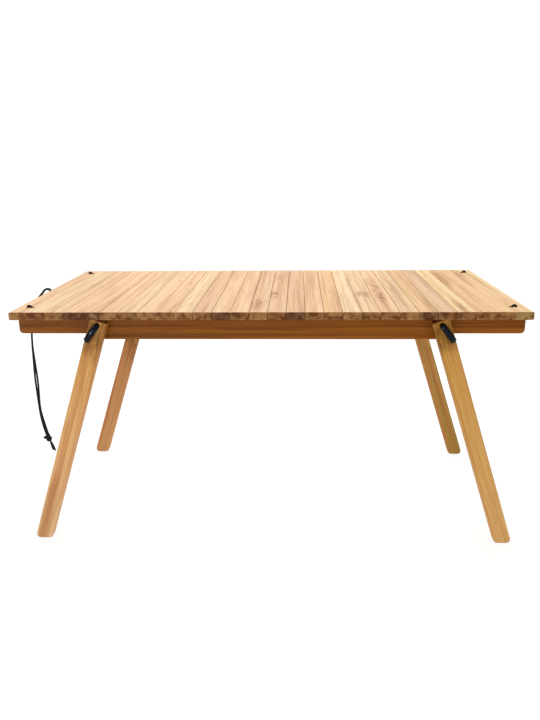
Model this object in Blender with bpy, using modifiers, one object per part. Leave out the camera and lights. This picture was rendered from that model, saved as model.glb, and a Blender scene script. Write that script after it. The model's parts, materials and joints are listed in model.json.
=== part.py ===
"""Camping table with a roll-up slat top, on two stepped rails and four lashed legs.

Frame: X is the table's length, with +X to the right, Y its depth, away from the front, and Z is up.
The origin is on the ground, under the middle of the top. All sizes are in metres.
"""
import math

import bmesh
import bpy
from mathutils import Matrix, Vector

# Top
TABLE_LENGTH = 1.000
TABLE_DEPTH = 0.510
TABLE_HEIGHT = 0.500
SLAT_COUNT = 28
END_SLAT_PITCH = 0.0345
SLAT_THICKNESS = 0.0155
SEAM_GAP = 0.0012
SLAT_EDGE = 0.0009
FIT_GAP = 0.0003
FLAT_ANGLE = math.radians(0.5)

# Elastic lacing that strings the slats together
LACE_Y = 0.208
LACE_RADIUS = 0.0022
LACE_BORE_RADIUS = 0.0028
LACE_EYE_X = 0.4795
LACE_SLOT_X = 0.4737
LACE_SLOT_DEPTH = 0.011
KNOT_POCKET_RADIUS = 0.005
KNOT_POCKET_DEPTH = 0.013

# Rails and end bars
RAIL_LENGTH = 0.996
RAIL_INSET = 0.0395
RAIL_THICKNESS = 0.020
RAIL_END_DEPTH = 0.0357
RAIL_MIDDLE_DEPTH = 0.0475
RAIL_STEP_X = 0.350
RAIL_CORNER = 0.008
RAIL_STEP_CORNER = 0.003
RAIL_EDGE = 0.0015
BAR_CENTRE_X = 0.460
BAR_THICKNESS = 0.020
BAR_DEPTH = 0.033
BAR_HOUSING = 0.005
BAR_EDGE = 0.001

# Legs
LEG_WIDTH = 0.034
LEG_THICKNESS = 0.020
LEG_LEAN = math.radians(18.2)
LEG_FOOT_X = 0.489
LEG_TOP_Z = 0.4786
LEG_FOOT_CORNER = 0.009
LEG_TOP_CORNER = 0.0015
LEG_EDGE = 0.0012
LEG_GAP = 0.0005

# Lashings that pull the legs onto their dowels
LASHING_RADIUS = 0.0048
LASHING_HOLE_RADIUS = 0.0053
LASHING_HOLE_Z = 0.4695
LASHING_NOTCH_DOWN = 0.0350
LASHING_NOTCH_INSET = 0.0049
DOWEL_RADIUS = 0.0030
DOWEL_LENGTH = 0.0225
DOWEL_IN_RAIL = 0.012
DOWEL_PLACES = {"upper": (0.014, -0.008), "lower": (0.020, 0.009)}

# Binding cord that ties up the rolled top, hung from the left end slat
CORD_RADIUS = 0.0022
CORD_SLOT_RADIUS = 0.0026
CORD_SLOT_SLANT = math.radians(55)
CORD_SLOT_Z = 0.4925
STRAND_A_Y = -0.0115
STRAND_B_Y = -0.0069
STRAND_A_ROUTE = [
    (-0.4955, -0.0115, 0.4861), (-0.5000, -0.0115, 0.4925), (-0.5029, -0.0115, 0.4966),
    (-0.5059, -0.0115, 0.4994), (-0.5099, -0.0115, 0.5007), (-0.5140, -0.0115, 0.5001),
    (-0.5175, -0.0115, 0.4979), (-0.5212, -0.0115, 0.4935), (-0.5266, -0.0115, 0.4873),
    (-0.5331, -0.0115, 0.4799), (-0.5396, -0.0115, 0.4700), (-0.5450, -0.0115, 0.4572),
    (-0.5495, -0.0115, 0.4400), (-0.5532, -0.0115, 0.4200), (-0.5572, -0.0115, 0.3960),
    (-0.5588, -0.0115, 0.3695), (-0.5598, -0.0115, 0.3404), (-0.5607, -0.0115, 0.3111),
    (-0.5611, -0.0115, 0.2890), (-0.5606, -0.0115, 0.2665), (-0.5596, -0.0115, 0.2363),
    (-0.5583, -0.0115, 0.2059), (-0.5570, -0.0115, 0.1905), (-0.5550, -0.0115, 0.1751),
    (-0.5520, -0.0115, 0.1596), (-0.5491, -0.0115, 0.1477),
]
STRAND_B_ROUTE = [
    (-0.4955, -0.0069, 0.4861), (-0.5000, -0.0069, 0.4925), (-0.5029, -0.0069, 0.4966),
    (-0.5059, -0.0069, 0.4994), (-0.5099, -0.0069, 0.5007), (-0.5140, -0.0069, 0.5001),
    (-0.5175, -0.0069, 0.4979), (-0.5212, -0.0069, 0.4935), (-0.5266, -0.0069, 0.4873),
    (-0.5331, -0.0069, 0.4799), (-0.5396, -0.0069, 0.4700), (-0.5450, -0.0069, 0.4572),
    (-0.5500, -0.0069, 0.4400), (-0.5545, -0.0069, 0.4200), (-0.5590, -0.0069, 0.3960),
    (-0.5605, -0.0069, 0.3682), (-0.5597, -0.0069, 0.3391), (-0.5584, -0.0069, 0.3110),
    (-0.5574, -0.0069, 0.2860), (-0.5574, -0.0069, 0.2649), (-0.5583, -0.0069, 0.2390),
    (-0.5587, -0.0069, 0.2194), (-0.5577, -0.0069, 0.2041), (-0.5554, -0.0069, 0.1887),
    (-0.5523, -0.0069, 0.1733), (-0.5489, -0.0069, 0.1577), (-0.5468, -0.0069, 0.1475),
]
TAIL_A_ROUTE = [
    (-0.5400, -0.0115, 0.1272), (-0.5378, -0.0115, 0.1228), (-0.5352, -0.0115, 0.1168),
    (-0.5330, -0.0115, 0.1100), (-0.5312, -0.0115, 0.1030),
]
TAIL_B_ROUTE = [
    (-0.5425, -0.0069, 0.1262), (-0.5412, -0.0069, 0.1195), (-0.5400, -0.0069, 0.1130),
    (-0.5386, -0.0069, 0.1075), (-0.5374, -0.0069, 0.1030),
]
KNOT_CENTRE = Vector((-0.5468, -0.0092, 0.1370))
KNOT_SIZE = Vector((0.0128, 0.0120, 0.0224))
KNOT_TILT = math.radians(-37)

SLAT_BOTTOM = TABLE_HEIGHT - SLAT_THICKNESS
SLAT_MIDDLE = TABLE_HEIGHT - SLAT_THICKNESS / 2
SLAT_PITCH = (TABLE_LENGTH - 2 * END_SLAT_PITCH) / (SLAT_COUNT - 2)
RAIL_TOP = SLAT_BOTTOM - FIT_GAP
RAIL_FACE_Y = TABLE_DEPTH / 2 - RAIL_INSET
RAIL_BACK_Y = RAIL_FACE_Y - RAIL_THICKNESS
LEG_BACK_Y = RAIL_FACE_Y + LEG_GAP
LEG_UP = Vector((-math.sin(LEG_LEAN), math.cos(LEG_LEAN)))
LEG_IN = Vector((-math.cos(LEG_LEAN), -math.sin(LEG_LEAN)))

WOOD_LIGHT = "E2BC8E"
WOOD_PINK = "D9A87C"
WOOD_GOLD = "C8925A"
WOOD_RAIL = "8A5A30"
RUBBER_BLACK = "16171A"
CORD_BLACK = "1B1C20"


def clear_scene():
    for obj in list(bpy.data.objects):
        bpy.data.objects.remove(obj, do_unlink=True)


def collection(name):
    made = bpy.data.collections.new(name)
    bpy.context.scene.collection.children.link(made)
    return made


def linear(code):
    """An sRGB hex colour as linear RGBA."""
    channels = [int(code[i:i + 2], 16) / 255 for i in (0, 2, 4)]
    return [c / 12.92 if c <= 0.04045 else ((c + 0.055) / 1.055) ** 2.4 for c in channels] + [1.0]


def finish(obj, colour, roughness):
    """Gives an object its own plain material."""
    material = bpy.data.materials.new(obj.name)
    material.use_nodes = True
    shader = material.node_tree.nodes["Principled BSDF"]
    shader.inputs["Base Color"].default_value = linear(colour)
    shader.inputs["Roughness"].default_value = roughness
    shader.inputs["Metallic"].default_value = 0.0
    obj.data.materials.clear()
    obj.data.materials.append(material)
    return obj


def mesh_object(name, mesh, group):
    obj = bpy.data.objects.new(name, mesh)
    group.objects.link(obj)
    return obj


def box(name, low, high, group):
    """A box between two opposite corners, with its origin at its centre."""
    low, high = Vector(low), Vector(high)
    shape = bmesh.new()
    bmesh.ops.create_cube(shape, size=1.0)
    bmesh.ops.scale(shape, vec=high - low, verts=shape.verts)
    mesh = bpy.data.meshes.new(name)
    shape.to_mesh(mesh)
    shape.free()
    obj = mesh_object(name, mesh, group)
    obj.location = (low + high) / 2
    return obj


def rod(name, start, end, radius, sides, group):
    """A cylinder between two points."""
    start, end = Vector(start), Vector(end)
    shape = bmesh.new()
    bmesh.ops.create_cone(shape, cap_ends=True, segments=sides, radius1=radius, radius2=radius,
                          depth=(end - start).length)
    turn = (end - start).to_track_quat("Z", "Y").to_matrix().to_4x4()
    bmesh.ops.transform(shape, matrix=turn, verts=shape.verts)
    mesh = bpy.data.meshes.new(name)
    shape.to_mesh(mesh)
    shape.free()
    obj = mesh_object(name, mesh, group)
    obj.location = (start + end) / 2
    return obj


def hide_cutter(cutter):
    cutter.hide_render = True
    cutter.display_type = "WIRE"
    return cutter


def bevel(obj, width):
    edge = obj.modifiers.new("Eased edges", "BEVEL")
    edge.width = width
    edge.segments = 1
    edge.limit_method = "NONE"


def cut(obj, cutters):
    for cutter in cutters:
        hole = obj.modifiers.new("Cut " + cutter.name, "BOOLEAN")
        hole.operation = "DIFFERENCE"
        hole.solver = "EXACT"
        hole.use_self = True
        hole.object = hide_cutter(cutter)


def baked_mesh(obj, name):
    """The mesh that an object shows, in its own coordinates, with loose caps welded."""
    bpy.context.view_layer.update()
    seen = obj.evaluated_get(bpy.context.evaluated_depsgraph_get())
    mesh = bpy.data.meshes.new_from_object(seen)
    mesh.name = name
    shape = bmesh.new()
    shape.from_mesh(mesh)
    bmesh.ops.remove_doubles(shape, verts=shape.verts, dist=0.000001)
    shape.to_mesh(mesh)
    shape.free()
    return mesh


def mesh_from_curve(obj, group):
    """Replaces a curve object with a mesh object of the same name and place, with whole flat faces."""
    name, place = obj.name, obj.matrix_world.copy()
    mesh = baked_mesh(obj, name)
    shape = bmesh.new()
    shape.from_mesh(mesh)
    bmesh.ops.dissolve_limit(shape, angle_limit=FLAT_ANGLE, verts=shape.verts, edges=shape.edges)
    shape.to_mesh(mesh)
    shape.free()
    bpy.data.objects.remove(obj, do_unlink=True)
    made = mesh_object(name, mesh, group)
    made.matrix_world = place
    return made


def rounded_outline(corners, steps=4):
    """Corner points given as (x, z, radius), with each round corner drawn as an arc."""
    points = []
    for i, (x, z, radius) in enumerate(corners):
        here = Vector((x, z))
        before = Vector(corners[i - 1][:2]) - here
        after = Vector(corners[(i + 1) % len(corners)][:2]) - here
        if radius == 0:
            points.append(here)
            continue
        before.normalize()
        after.normalize()
        half = before.angle(after) / 2
        centre = here + (before + after).normalized() * radius / math.sin(half)
        first = here + before * radius / math.tan(half) - centre
        last = here + after * radius / math.tan(half) - centre
        sweep = first.angle_signed(last)
        for k in range(steps + 1):
            turn = Matrix.Rotation(-sweep * k / steps, 2)
            points.append(centre + turn @ first)
    return points


def plank(name, corners, low_y, high_y, group, steps=4, edge=0.0):
    """A flat outline in the XZ plane, given thickness between two Y values, with its long edges chamfered."""
    curve = bpy.data.curves.new(name, "CURVE")
    curve.dimensions = "2D"
    curve.fill_mode = "BOTH"
    curve.extrude = (high_y - low_y) / 2 - edge
    curve.bevel_depth = edge
    curve.bevel_resolution = 0
    curve.offset = -edge
    points = rounded_outline(corners, steps)
    spline = curve.splines.new("POLY")
    spline.points.add(len(points) - 1)
    for point, at in zip(spline.points, points):
        point.co = (at.x, at.y, 0.0, 1.0)
    spline.use_cyclic_u = True
    obj = bpy.data.objects.new(name, curve)
    group.objects.link(obj)
    obj.rotation_euler = (math.radians(90), 0.0, 0.0)
    obj.location = (0.0, (low_y + high_y) / 2, 0.0)
    bpy.context.view_layer.update()
    return mesh_from_curve(obj, group)


def smooth_path(route, spacing):
    """Points read off a smooth curve that passes through the route's own points."""
    points = [Vector(p) for p in route]
    points = [2 * points[0] - points[1]] + points + [2 * points[-1] - points[-2]]
    dense = []
    for a, b, c, d in zip(points, points[1:], points[2:], points[3:]):
        for k in range(16):
            t = k / 16
            dense.append(0.5 * (2 * b + (c - a) * t + (2 * a - 5 * b + 4 * c - d) * t ** 2
                                + (3 * b - a - 3 * c + d) * t ** 3))
    dense.append(points[-2])
    reach = [0.0]
    for p, q in zip(dense, dense[1:]):
        reach.append(reach[-1] + (q - p).length)
    count = max(2, round(reach[-1] / spacing))
    path, at = [], 0
    for k in range(count + 1):
        want = reach[-1] * k / count
        while at < len(reach) - 2 and reach[at + 1] < want:
            at += 1
        share = (want - reach[at]) / (reach[at + 1] - reach[at])
        path.append(dense[at].lerp(dense[at + 1], min(max(share, 0.0), 1.0)))
    return path


def tube(name, path, radius, group, closed=False):
    """A cord of round section along a path, with filled ends."""
    curve = bpy.data.curves.new(name, "CURVE")
    curve.dimensions = "3D"
    curve.bevel_depth = radius
    curve.bevel_resolution = 2
    curve.use_fill_caps = not closed
    spline = curve.splines.new("POLY")
    spline.points.add(len(path) - 1)
    for point, at in zip(spline.points, path):
        point.co = (at.x, at.y, at.z, 1.0)
    spline.use_cyclic_u = closed
    obj = bpy.data.objects.new(name, curve)
    group.objects.link(obj)
    return obj


def seam_x(number):
    """Where the seam after slat `number` lies; 0 is the left end and SLAT_COUNT the right end."""
    if number == 0:
        return -TABLE_LENGTH / 2
    if number == SLAT_COUNT:
        return TABLE_LENGTH / 2
    return -TABLE_LENGTH / 2 + END_SLAT_PITCH + SLAT_PITCH * (number - 1)


def slat_span(number):
    """A slat's left and right faces, from its seams less half the gap at each."""
    left = seam_x(number - 1) + (SEAM_GAP / 2 if number > 1 else 0.0)
    right = seam_x(number) - (SEAM_GAP / 2 if number < SLAT_COUNT else 0.0)
    return left, right


def lace_bores(number, cutters):
    """Bores through a slat's thickness middle, front and back, for the two lacing cords."""
    left, right = slat_span(number)
    return [rod(f"slat_{number:02d}_bore_{side:+d}", (left - 0.005, side * LACE_Y, SLAT_MIDDLE),
                (right + 0.005, side * LACE_Y, SLAT_MIDDLE), LACE_BORE_RADIUS, 10, cutters)
            for side in (-1, 1)]


def slat(number, parts):
    left, right = slat_span(number)
    obj = box(f"slat_{number:02d}", (left, -TABLE_DEPTH / 2, SLAT_BOTTOM),
              (right, TABLE_DEPTH / 2, TABLE_HEIGHT), parts)
    bevel(obj, SLAT_EDGE)
    return obj


def middle_slats(parts, cutters):
    """The slats between the two end ones are alike, so the first is cut and the others share its mesh."""
    first = slat(2, parts)
    cut(first, lace_bores(2, cutters))
    shared = baked_mesh(first, "slat")
    bpy.data.objects.remove(first, do_unlink=True)
    for number in range(2, SLAT_COUNT):
        left, right = slat_span(number)
        obj = mesh_object(f"slat_{number:02d}", shared.copy(), parts)
        obj.location = ((left + right) / 2, 0.0, SLAT_MIDDLE)
        finish(obj, WOOD_PINK if number % 3 == 0 else WOOD_LIGHT, 0.55)


def end_slat(number, side, parts, cutters):
    """An end slat, where each lacing cord comes up through a slot, crosses the top and goes down an eye."""
    obj = slat(number, parts)
    holes = []
    for end in (-1, 1):
        y = end * LACE_Y
        eye = rod(f"slat_{number:02d}_eye_{end:+d}", (side * LACE_EYE_X, y, SLAT_BOTTOM - 0.005),
                  (side * LACE_EYE_X, y, TABLE_HEIGHT + 0.005), LACE_BORE_RADIUS, 10, cutters)
        inner = seam_x(1) + 0.005
        x_low, x_high = sorted((side * LACE_SLOT_X, -side * inner))
        slot = box(f"slat_{number:02d}_slot_{end:+d}",
                   (x_low, y - LACE_BORE_RADIUS, TABLE_HEIGHT - LACE_SLOT_DEPTH),
                   (x_high, y + LACE_BORE_RADIUS, TABLE_HEIGHT + 0.005), cutters)
        holes += [eye, slot]
    cut(obj, holes)
    return finish(obj, WOOD_LIGHT, 0.55)


def cord_slot(cutters):
    """A slanted slot that takes both strands, from the left end slat's end face to its underside."""
    half = (STRAND_B_Y - STRAND_A_Y) / 2 + CORD_SLOT_RADIUS
    depth, radius = CORD_SLOT_RADIUS, CORD_SLOT_RADIUS * 0.999
    corners = [(-half, -depth, radius), (half, -depth, radius), (half, depth, radius), (-half, depth, radius)]
    slot = plank("cord_slot", corners, -0.008, 0.022, cutters)
    across = Vector((0.0, 1.0, 0.0))
    along = Vector((math.cos(CORD_SLOT_SLANT), 0.0, -math.sin(CORD_SLOT_SLANT)))
    turn = Matrix((across, along, across.cross(along))).transposed().to_4x4()
    mouth = Matrix.Translation((-TABLE_LENGTH / 2, (STRAND_A_Y + STRAND_B_Y) / 2, CORD_SLOT_Z))
    slot.matrix_world = mouth @ turn @ slot.matrix_world
    return slot


def rail_corners():
    end = RAIL_LENGTH / 2
    low, high = RAIL_TOP - RAIL_MIDDLE_DEPTH, RAIL_TOP - RAIL_END_DEPTH
    lean = (high - low) * math.tan(LEG_LEAN)
    return [
        (-end, RAIL_TOP, 0), (-end, high, RAIL_CORNER), (-RAIL_STEP_X - lean, high, RAIL_STEP_CORNER),
        (-RAIL_STEP_X, low, RAIL_STEP_CORNER), (RAIL_STEP_X, low, RAIL_STEP_CORNER),
        (RAIL_STEP_X + lean, high, RAIL_STEP_CORNER), (end, high, RAIL_CORNER), (end, RAIL_TOP, 0),
    ]


def leg_point(side, down, inward):
    """A point on a leg, measured from its lashing hole down the leg and towards the table's middle."""
    hole = Vector((LEG_FOOT_X - LASHING_HOLE_Z * math.tan(LEG_LEAN), LASHING_HOLE_Z))
    at = hole - LEG_UP * down + LEG_IN * inward
    return side * at.x, at.y


def rail(name, face, parts, cutters):
    """face is -1 for the front rail and 1 for the back one."""
    low_y, high_y = sorted((face * RAIL_FACE_Y, face * RAIL_BACK_Y))
    obj = plank(name, rail_corners(), low_y, high_y, parts, edge=RAIL_EDGE)
    holes = []
    for side in (-1, 1):
        x, z = leg_point(side, 0.0, 0.0)
        holes.append(rod(f"{name}_lashing_{side:+d}", (x, low_y - 0.01, z), (x, high_y + 0.01, z),
                         LASHING_HOLE_RADIUS, 12, cutters))
        for place, (down, inward) in DOWEL_PLACES.items():
            x, z = leg_point(side, down, inward)
            holes.append(rod(f"{name}_{place}_socket_{side:+d}", (x, face * (RAIL_FACE_Y + 0.01), z),
                             (x, face * (RAIL_FACE_Y - DOWEL_IN_RAIL - FIT_GAP), z),
                             DOWEL_RADIUS + FIT_GAP, 10, cutters))
        pocket_top = RAIL_TOP + 0.005
        holes.append(rod(f"{name}_pocket_{side:+d}", (side * LACE_EYE_X, face * LACE_Y, pocket_top),
                         (side * LACE_EYE_X, face * LACE_Y, RAIL_TOP - KNOT_POCKET_DEPTH),
                         KNOT_POCKET_RADIUS, 12, cutters))
        half = BAR_THICKNESS / 2 + FIT_GAP
        y_low, y_high = sorted((face * (RAIL_BACK_Y - 0.01), face * (RAIL_BACK_Y + BAR_HOUSING)))
        holes.append(box(f"{name}_housing_{side:+d}",
                         (side * BAR_CENTRE_X - half, y_low, RAIL_TOP - BAR_DEPTH - FIT_GAP),
                         (side * BAR_CENTRE_X + half, y_high, RAIL_TOP + 0.005), cutters))
    cut(obj, holes)
    return finish(obj, WOOD_RAIL, 0.5)


def end_bar(name, side, parts):
    half_length = RAIL_BACK_Y + BAR_HOUSING - FIT_GAP
    x = side * BAR_CENTRE_X
    obj = box(name, (x - BAR_THICKNESS / 2, -half_length, RAIL_TOP - BAR_DEPTH),
              (x + BAR_THICKNESS / 2, half_length, RAIL_TOP), parts)
    bevel(obj, BAR_EDGE)
    return finish(obj, WOOD_RAIL, 0.55)


def leg_corners(side):
    """Foot cut level with the ground, top cut square to the leg."""
    slope = math.tan(LEG_LEAN)
    across = LEG_WIDTH / 2 / math.cos(LEG_LEAN)
    top_x = LEG_FOOT_X - LEG_TOP_Z * slope
    outer = Vector((top_x, LEG_TOP_Z)) - LEG_IN * LEG_WIDTH / 2
    inner = Vector((top_x, LEG_TOP_Z)) + LEG_IN * LEG_WIDTH / 2
    corners = [
        (LEG_FOOT_X + across, 0.0, LEG_FOOT_CORNER), (outer.x, outer.y, LEG_TOP_CORNER),
        (inner.x, inner.y, LEG_TOP_CORNER), (LEG_FOOT_X - across, 0.0, LEG_FOOT_CORNER),
    ]
    if side < 0:
        corners = [(-x, z, radius) for x, z, radius in reversed(corners)]
    return corners


def leg(name, side, face, parts, cutters):
    low_y, high_y = sorted((face * LEG_BACK_Y, face * (LEG_BACK_Y + LEG_THICKNESS)))
    obj = plank(name, leg_corners(side), low_y, high_y, parts, edge=LEG_EDGE)
    x, z = leg_point(side, 0.0, 0.0)
    holes = [rod(name + "_hole", (x, low_y - 0.01, z), (x, high_y + 0.01, z), LASHING_HOLE_RADIUS, 12, cutters)]
    for place, (down, inward) in DOWEL_PLACES.items():
        x, z = leg_point(side, down, inward)
        depth = DOWEL_LENGTH - DOWEL_IN_RAIL + FIT_GAP
        holes.append(rod(f"{name}_{place}_socket", (x, face * (LEG_BACK_Y - 0.01), z),
                         (x, face * (LEG_BACK_Y + depth), z), DOWEL_RADIUS + FIT_GAP, 10, cutters))
    inner = leg_point(side, LASHING_NOTCH_DOWN, -LEG_WIDTH / 2 + LASHING_NOTCH_INSET)
    outer = leg_point(side, LASHING_NOTCH_DOWN, -LEG_WIDTH / 2 - LASHING_HOLE_RADIUS * 2)
    holes.append(notch_cutter(name + "_notch", inner, outer, low_y - 0.01, high_y + 0.01, cutters))
    cut(obj, holes)
    return finish(obj, WOOD_GOLD, 0.5)


def notch_cutter(name, inner, outer, low_y, high_y, cutters):
    """A slot with a round bottom at `inner`, open towards `outer`."""
    inner, outer = Vector(inner), Vector(outer)
    along = (outer - inner).normalized()
    across = Vector((-along.y, along.x)) * LASHING_HOLE_RADIUS
    corners = [(inner - across), (outer - across), (outer + across), (inner + across)]
    bottom = [inner + across * math.cos(a) - along * LASHING_HOLE_RADIUS * math.sin(a)
              for a in (math.radians(d) for d in range(30, 180, 30))]
    outline = [(p.x, p.y, 0) for p in corners + bottom]
    area = sum(p[0] * q[1] - q[0] * p[1] for p, q in zip(outline, outline[1:] + outline[:1]))
    if area < 0:
        outline.reverse()
    return plank(name, outline, low_y, high_y, cutters)


def dowel(name, side, face, place, parts):
    x, z = leg_point(side, *DOWEL_PLACES[place])
    start = face * (RAIL_FACE_Y - DOWEL_IN_RAIL)
    obj = rod(name, (x, start, z), (x, start + face * DOWEL_LENGTH, z), DOWEL_RADIUS, 10, parts)
    return finish(obj, WOOD_LIGHT, 0.6)


def lashing(name, side, face, parts):
    """A loop through the leg and rail, over the leg's face, round its notch and up behind the rail."""
    top = leg_point(side, 0.0, 0.0)
    low = leg_point(side, LASHING_NOTCH_DOWN, -LEG_WIDTH / 2 + LASHING_NOTCH_INSET)
    front = LEG_BACK_Y + LEG_THICKNESS + LASHING_RADIUS + 2 * FIT_GAP
    back = RAIL_BACK_Y - LASHING_RADIUS - 2 * FIT_GAP
    turn = 0.0045

    def at(place, y):
        x, z = Vector(top).lerp(Vector(low), place)
        return x, face * y, z

    route = [
        at(0.0, back + turn), at(0.0, RAIL_FACE_Y - 0.006), at(0.0, LEG_BACK_Y + 0.010), at(0.0, front - turn),
        at(0.10, front - 0.0005), at(0.35, front + 0.0010), at(0.65, front + 0.0010), at(0.90, front - 0.0005),
        at(1.0, front - turn), at(1.0, LEG_BACK_Y + 0.010), at(1.0, RAIL_FACE_Y - 0.006),
        at(1.0, back + turn), at(0.90, back + 0.0003), at(0.65, back - 0.0008), at(0.35, back - 0.0008),
        at(0.10, back + 0.0003),
    ]
    path = smooth_path(route + route[:1], 0.0065)[:-1]
    obj = tube(name, path, LASHING_RADIUS, parts, closed=True)
    return finish(obj, RUBBER_BLACK, 0.3)


def lacing(name, face, parts):
    """A cord from its pocket in the rail, over the left end slat, through every slat, to the right pocket."""
    y = face * LACE_Y
    pocket = RAIL_TOP - KNOT_POCKET_DEPTH + 0.002
    left = [
        (-LACE_EYE_X, y, TABLE_HEIGHT - 0.0030), (-LACE_EYE_X + 0.0006, y, TABLE_HEIGHT + 0.0016),
        (-LACE_EYE_X + 0.0046, y, TABLE_HEIGHT + 0.0042), (-LACE_EYE_X + 0.0086, y, TABLE_HEIGHT + 0.0014),
        (-LACE_EYE_X + 0.0104, y, TABLE_HEIGHT - 0.0026), (-LACE_EYE_X + 0.0118, y, TABLE_HEIGHT - 0.0064),
        (-LACE_EYE_X + 0.0146, y, SLAT_MIDDLE), (seam_x(1) + 0.004, y, SLAT_MIDDLE),
    ]
    path = [Vector((-LACE_EYE_X, y, pocket))] + smooth_path(left, 0.0035)
    path += [Vector((-p.x, p.y, p.z)) for p in reversed(path)]
    return finish(tube(name, path, LACE_RADIUS, parts), CORD_BLACK, 0.6)


def binding_cord(parts):
    for name, route in (("binding_strand_a", STRAND_A_ROUTE), ("binding_strand_b", STRAND_B_ROUTE),
                        ("binding_tail_a", TAIL_A_ROUTE), ("binding_tail_b", TAIL_B_ROUTE)):
        finish(tube(name, smooth_path(route, 0.009), CORD_RADIUS, parts), CORD_BLACK, 0.6)
    shape = bmesh.new()
    bmesh.ops.create_uvsphere(shape, u_segments=12, v_segments=8, radius=0.5)
    bmesh.ops.scale(shape, vec=KNOT_SIZE, verts=shape.verts)
    bmesh.ops.rotate(shape, cent=(0.0, 0.0, 0.0), matrix=Matrix.Rotation(KNOT_TILT, 3, "Y"), verts=shape.verts)
    mesh = bpy.data.meshes.new("binding_knot")
    shape.to_mesh(mesh)
    shape.free()
    mesh.shade_smooth()
    knot = mesh_object("binding_knot", mesh, parts)
    knot.location = KNOT_CENTRE
    finish(knot, CORD_BLACK, 0.6)


def build():
    clear_scene()
    parts = collection("Camping table")
    cutters = collection("Cutters")
    left = end_slat(1, -1, parts, cutters)
    cut(left, [cord_slot(cutters)])
    middle_slats(parts, cutters)
    end_slat(SLAT_COUNT, 1, parts, cutters)
    for row, face in (("front", -1), ("back", 1)):
        rail(f"{row}_rail", face, parts, cutters)
        lacing(f"{row}_lacing_cord", face, parts)
        for hand, side in (("left", -1), ("right", 1)):
            leg(f"{row}_{hand}_leg", side, face, parts, cutters)
            lashing(f"{row}_{hand}_lashing", side, face, parts)
            for place in DOWEL_PLACES:
                dowel(f"{row}_{hand}_{place}_dowel", side, face, place, parts)
    end_bar("left_end_bar", -1, parts)
    end_bar("right_end_bar", 1, parts)
    binding_cord(parts)


build()
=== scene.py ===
import json
import math
import random

import bmesh
import bpy
from mathutils import Matrix, Vector


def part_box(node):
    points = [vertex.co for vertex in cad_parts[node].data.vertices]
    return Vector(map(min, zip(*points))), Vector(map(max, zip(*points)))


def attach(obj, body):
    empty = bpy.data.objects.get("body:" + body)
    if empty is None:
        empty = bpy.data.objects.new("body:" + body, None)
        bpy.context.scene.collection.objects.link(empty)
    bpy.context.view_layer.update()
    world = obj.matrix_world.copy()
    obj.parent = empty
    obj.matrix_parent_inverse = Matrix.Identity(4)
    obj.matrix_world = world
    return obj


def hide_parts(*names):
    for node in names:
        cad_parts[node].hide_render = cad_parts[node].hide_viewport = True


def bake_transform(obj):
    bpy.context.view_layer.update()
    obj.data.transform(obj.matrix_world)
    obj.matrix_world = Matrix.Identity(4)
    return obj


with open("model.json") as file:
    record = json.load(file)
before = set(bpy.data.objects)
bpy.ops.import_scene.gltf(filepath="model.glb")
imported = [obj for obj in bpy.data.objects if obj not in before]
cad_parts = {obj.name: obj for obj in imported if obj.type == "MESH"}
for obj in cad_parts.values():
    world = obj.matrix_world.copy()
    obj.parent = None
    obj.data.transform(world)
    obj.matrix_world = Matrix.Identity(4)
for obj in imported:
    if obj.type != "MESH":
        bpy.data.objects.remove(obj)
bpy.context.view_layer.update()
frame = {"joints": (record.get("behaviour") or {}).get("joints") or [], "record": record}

bl_info = {
    "name": "Camping Table",
    "version": (1, 0, 0),
    "blender": (4, 5, 0),
    "location": "3D View > Sidebar > Camping Table",
    "description": "Finished surfaces, lashings and cords of a camping table with a roll-up slat top",
    "category": "Add Mesh",
}

BODIES = frame["record"]["behaviour"]["bodies"]
BODY_OF = {node: body for body, nodes in BODIES.items() for node in nodes}

# Top
SLATS = sorted(node for node in BODY_OF if node.startswith("slat_"))
TOP_LOW, TOP_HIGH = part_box(SLATS[0])[0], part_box(SLATS[-1])[1]
SEAMS = [joint["pos_m"][0] for joint in frame["joints"] if joint["type"] == "hinge"]
TABLE_TOP = TOP_HIGH.z
TABLE_HALF_LENGTH = TOP_HIGH.x
TABLE_DEPTH = TOP_HIGH.y - TOP_LOW.y
SLAT_THICKNESS = TOP_HIGH.z - TOP_LOW.z
SLAT_MIDDLE = TABLE_TOP - SLAT_THICKNESS / 2
SLAT_PITCH = (SEAMS[-1] - SEAMS[0]) / (len(SEAMS) - 1)
SEAM_GAP = 0.0004

# Joinery: the play round a fitted part, and how far a cutter reaches past the surface that it opens
FIT_GAP = 0.0003
CUT_PAST = 0.005

# Rounded edges: steps across each, the turn from which an edge is rounded, and that from which it looks sharp
EDGE_STEPS = 4
EDGE_TURN = math.radians(40)
SHARP_TURN = math.radians(32)

# Lacing that strings the slats together
LACE_Y = 0.208
LACE_BORE = 0.0028
LACE_EYE_X = 0.4795
LACE_SLOT_X = 0.4737
LACE_SLOT_INSET = 0.045
LACE_SLOT_DEPTH = 0.011
LACE_REACH = 0.0065
LACE_PICK = 0.0030
STOPPER_DROP = 0.0065
STOPPER_STRAND = 0.0018
STOPPER_REACH = (0.0009, 0.0009, 0.0022)
KNOT_POCKET_RADIUS = 0.005
KNOT_POCKET_DEPTH = 0.013

# Rails and end bars
RAIL_LOW, RAIL_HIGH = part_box("front_rail")
RAIL_TOP = RAIL_HIGH.z
RAIL_FACE_Y = -RAIL_LOW.y
RAIL_BACK_Y = -RAIL_HIGH.y
RAIL_HALF_LENGTH = RAIL_HIGH.x
RAIL_END_DEPTH = 0.0357
RAIL_STEP_X = 0.350
RAIL_CORNER = 0.008
RAIL_STEP_CORNER = 0.003
BAR_LOW, BAR_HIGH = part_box("right_end_bar")
BAR_CENTRE_X = (BAR_LOW.x + BAR_HIGH.x) / 2
BAR_EDGE_SHARE = 0.8

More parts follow.
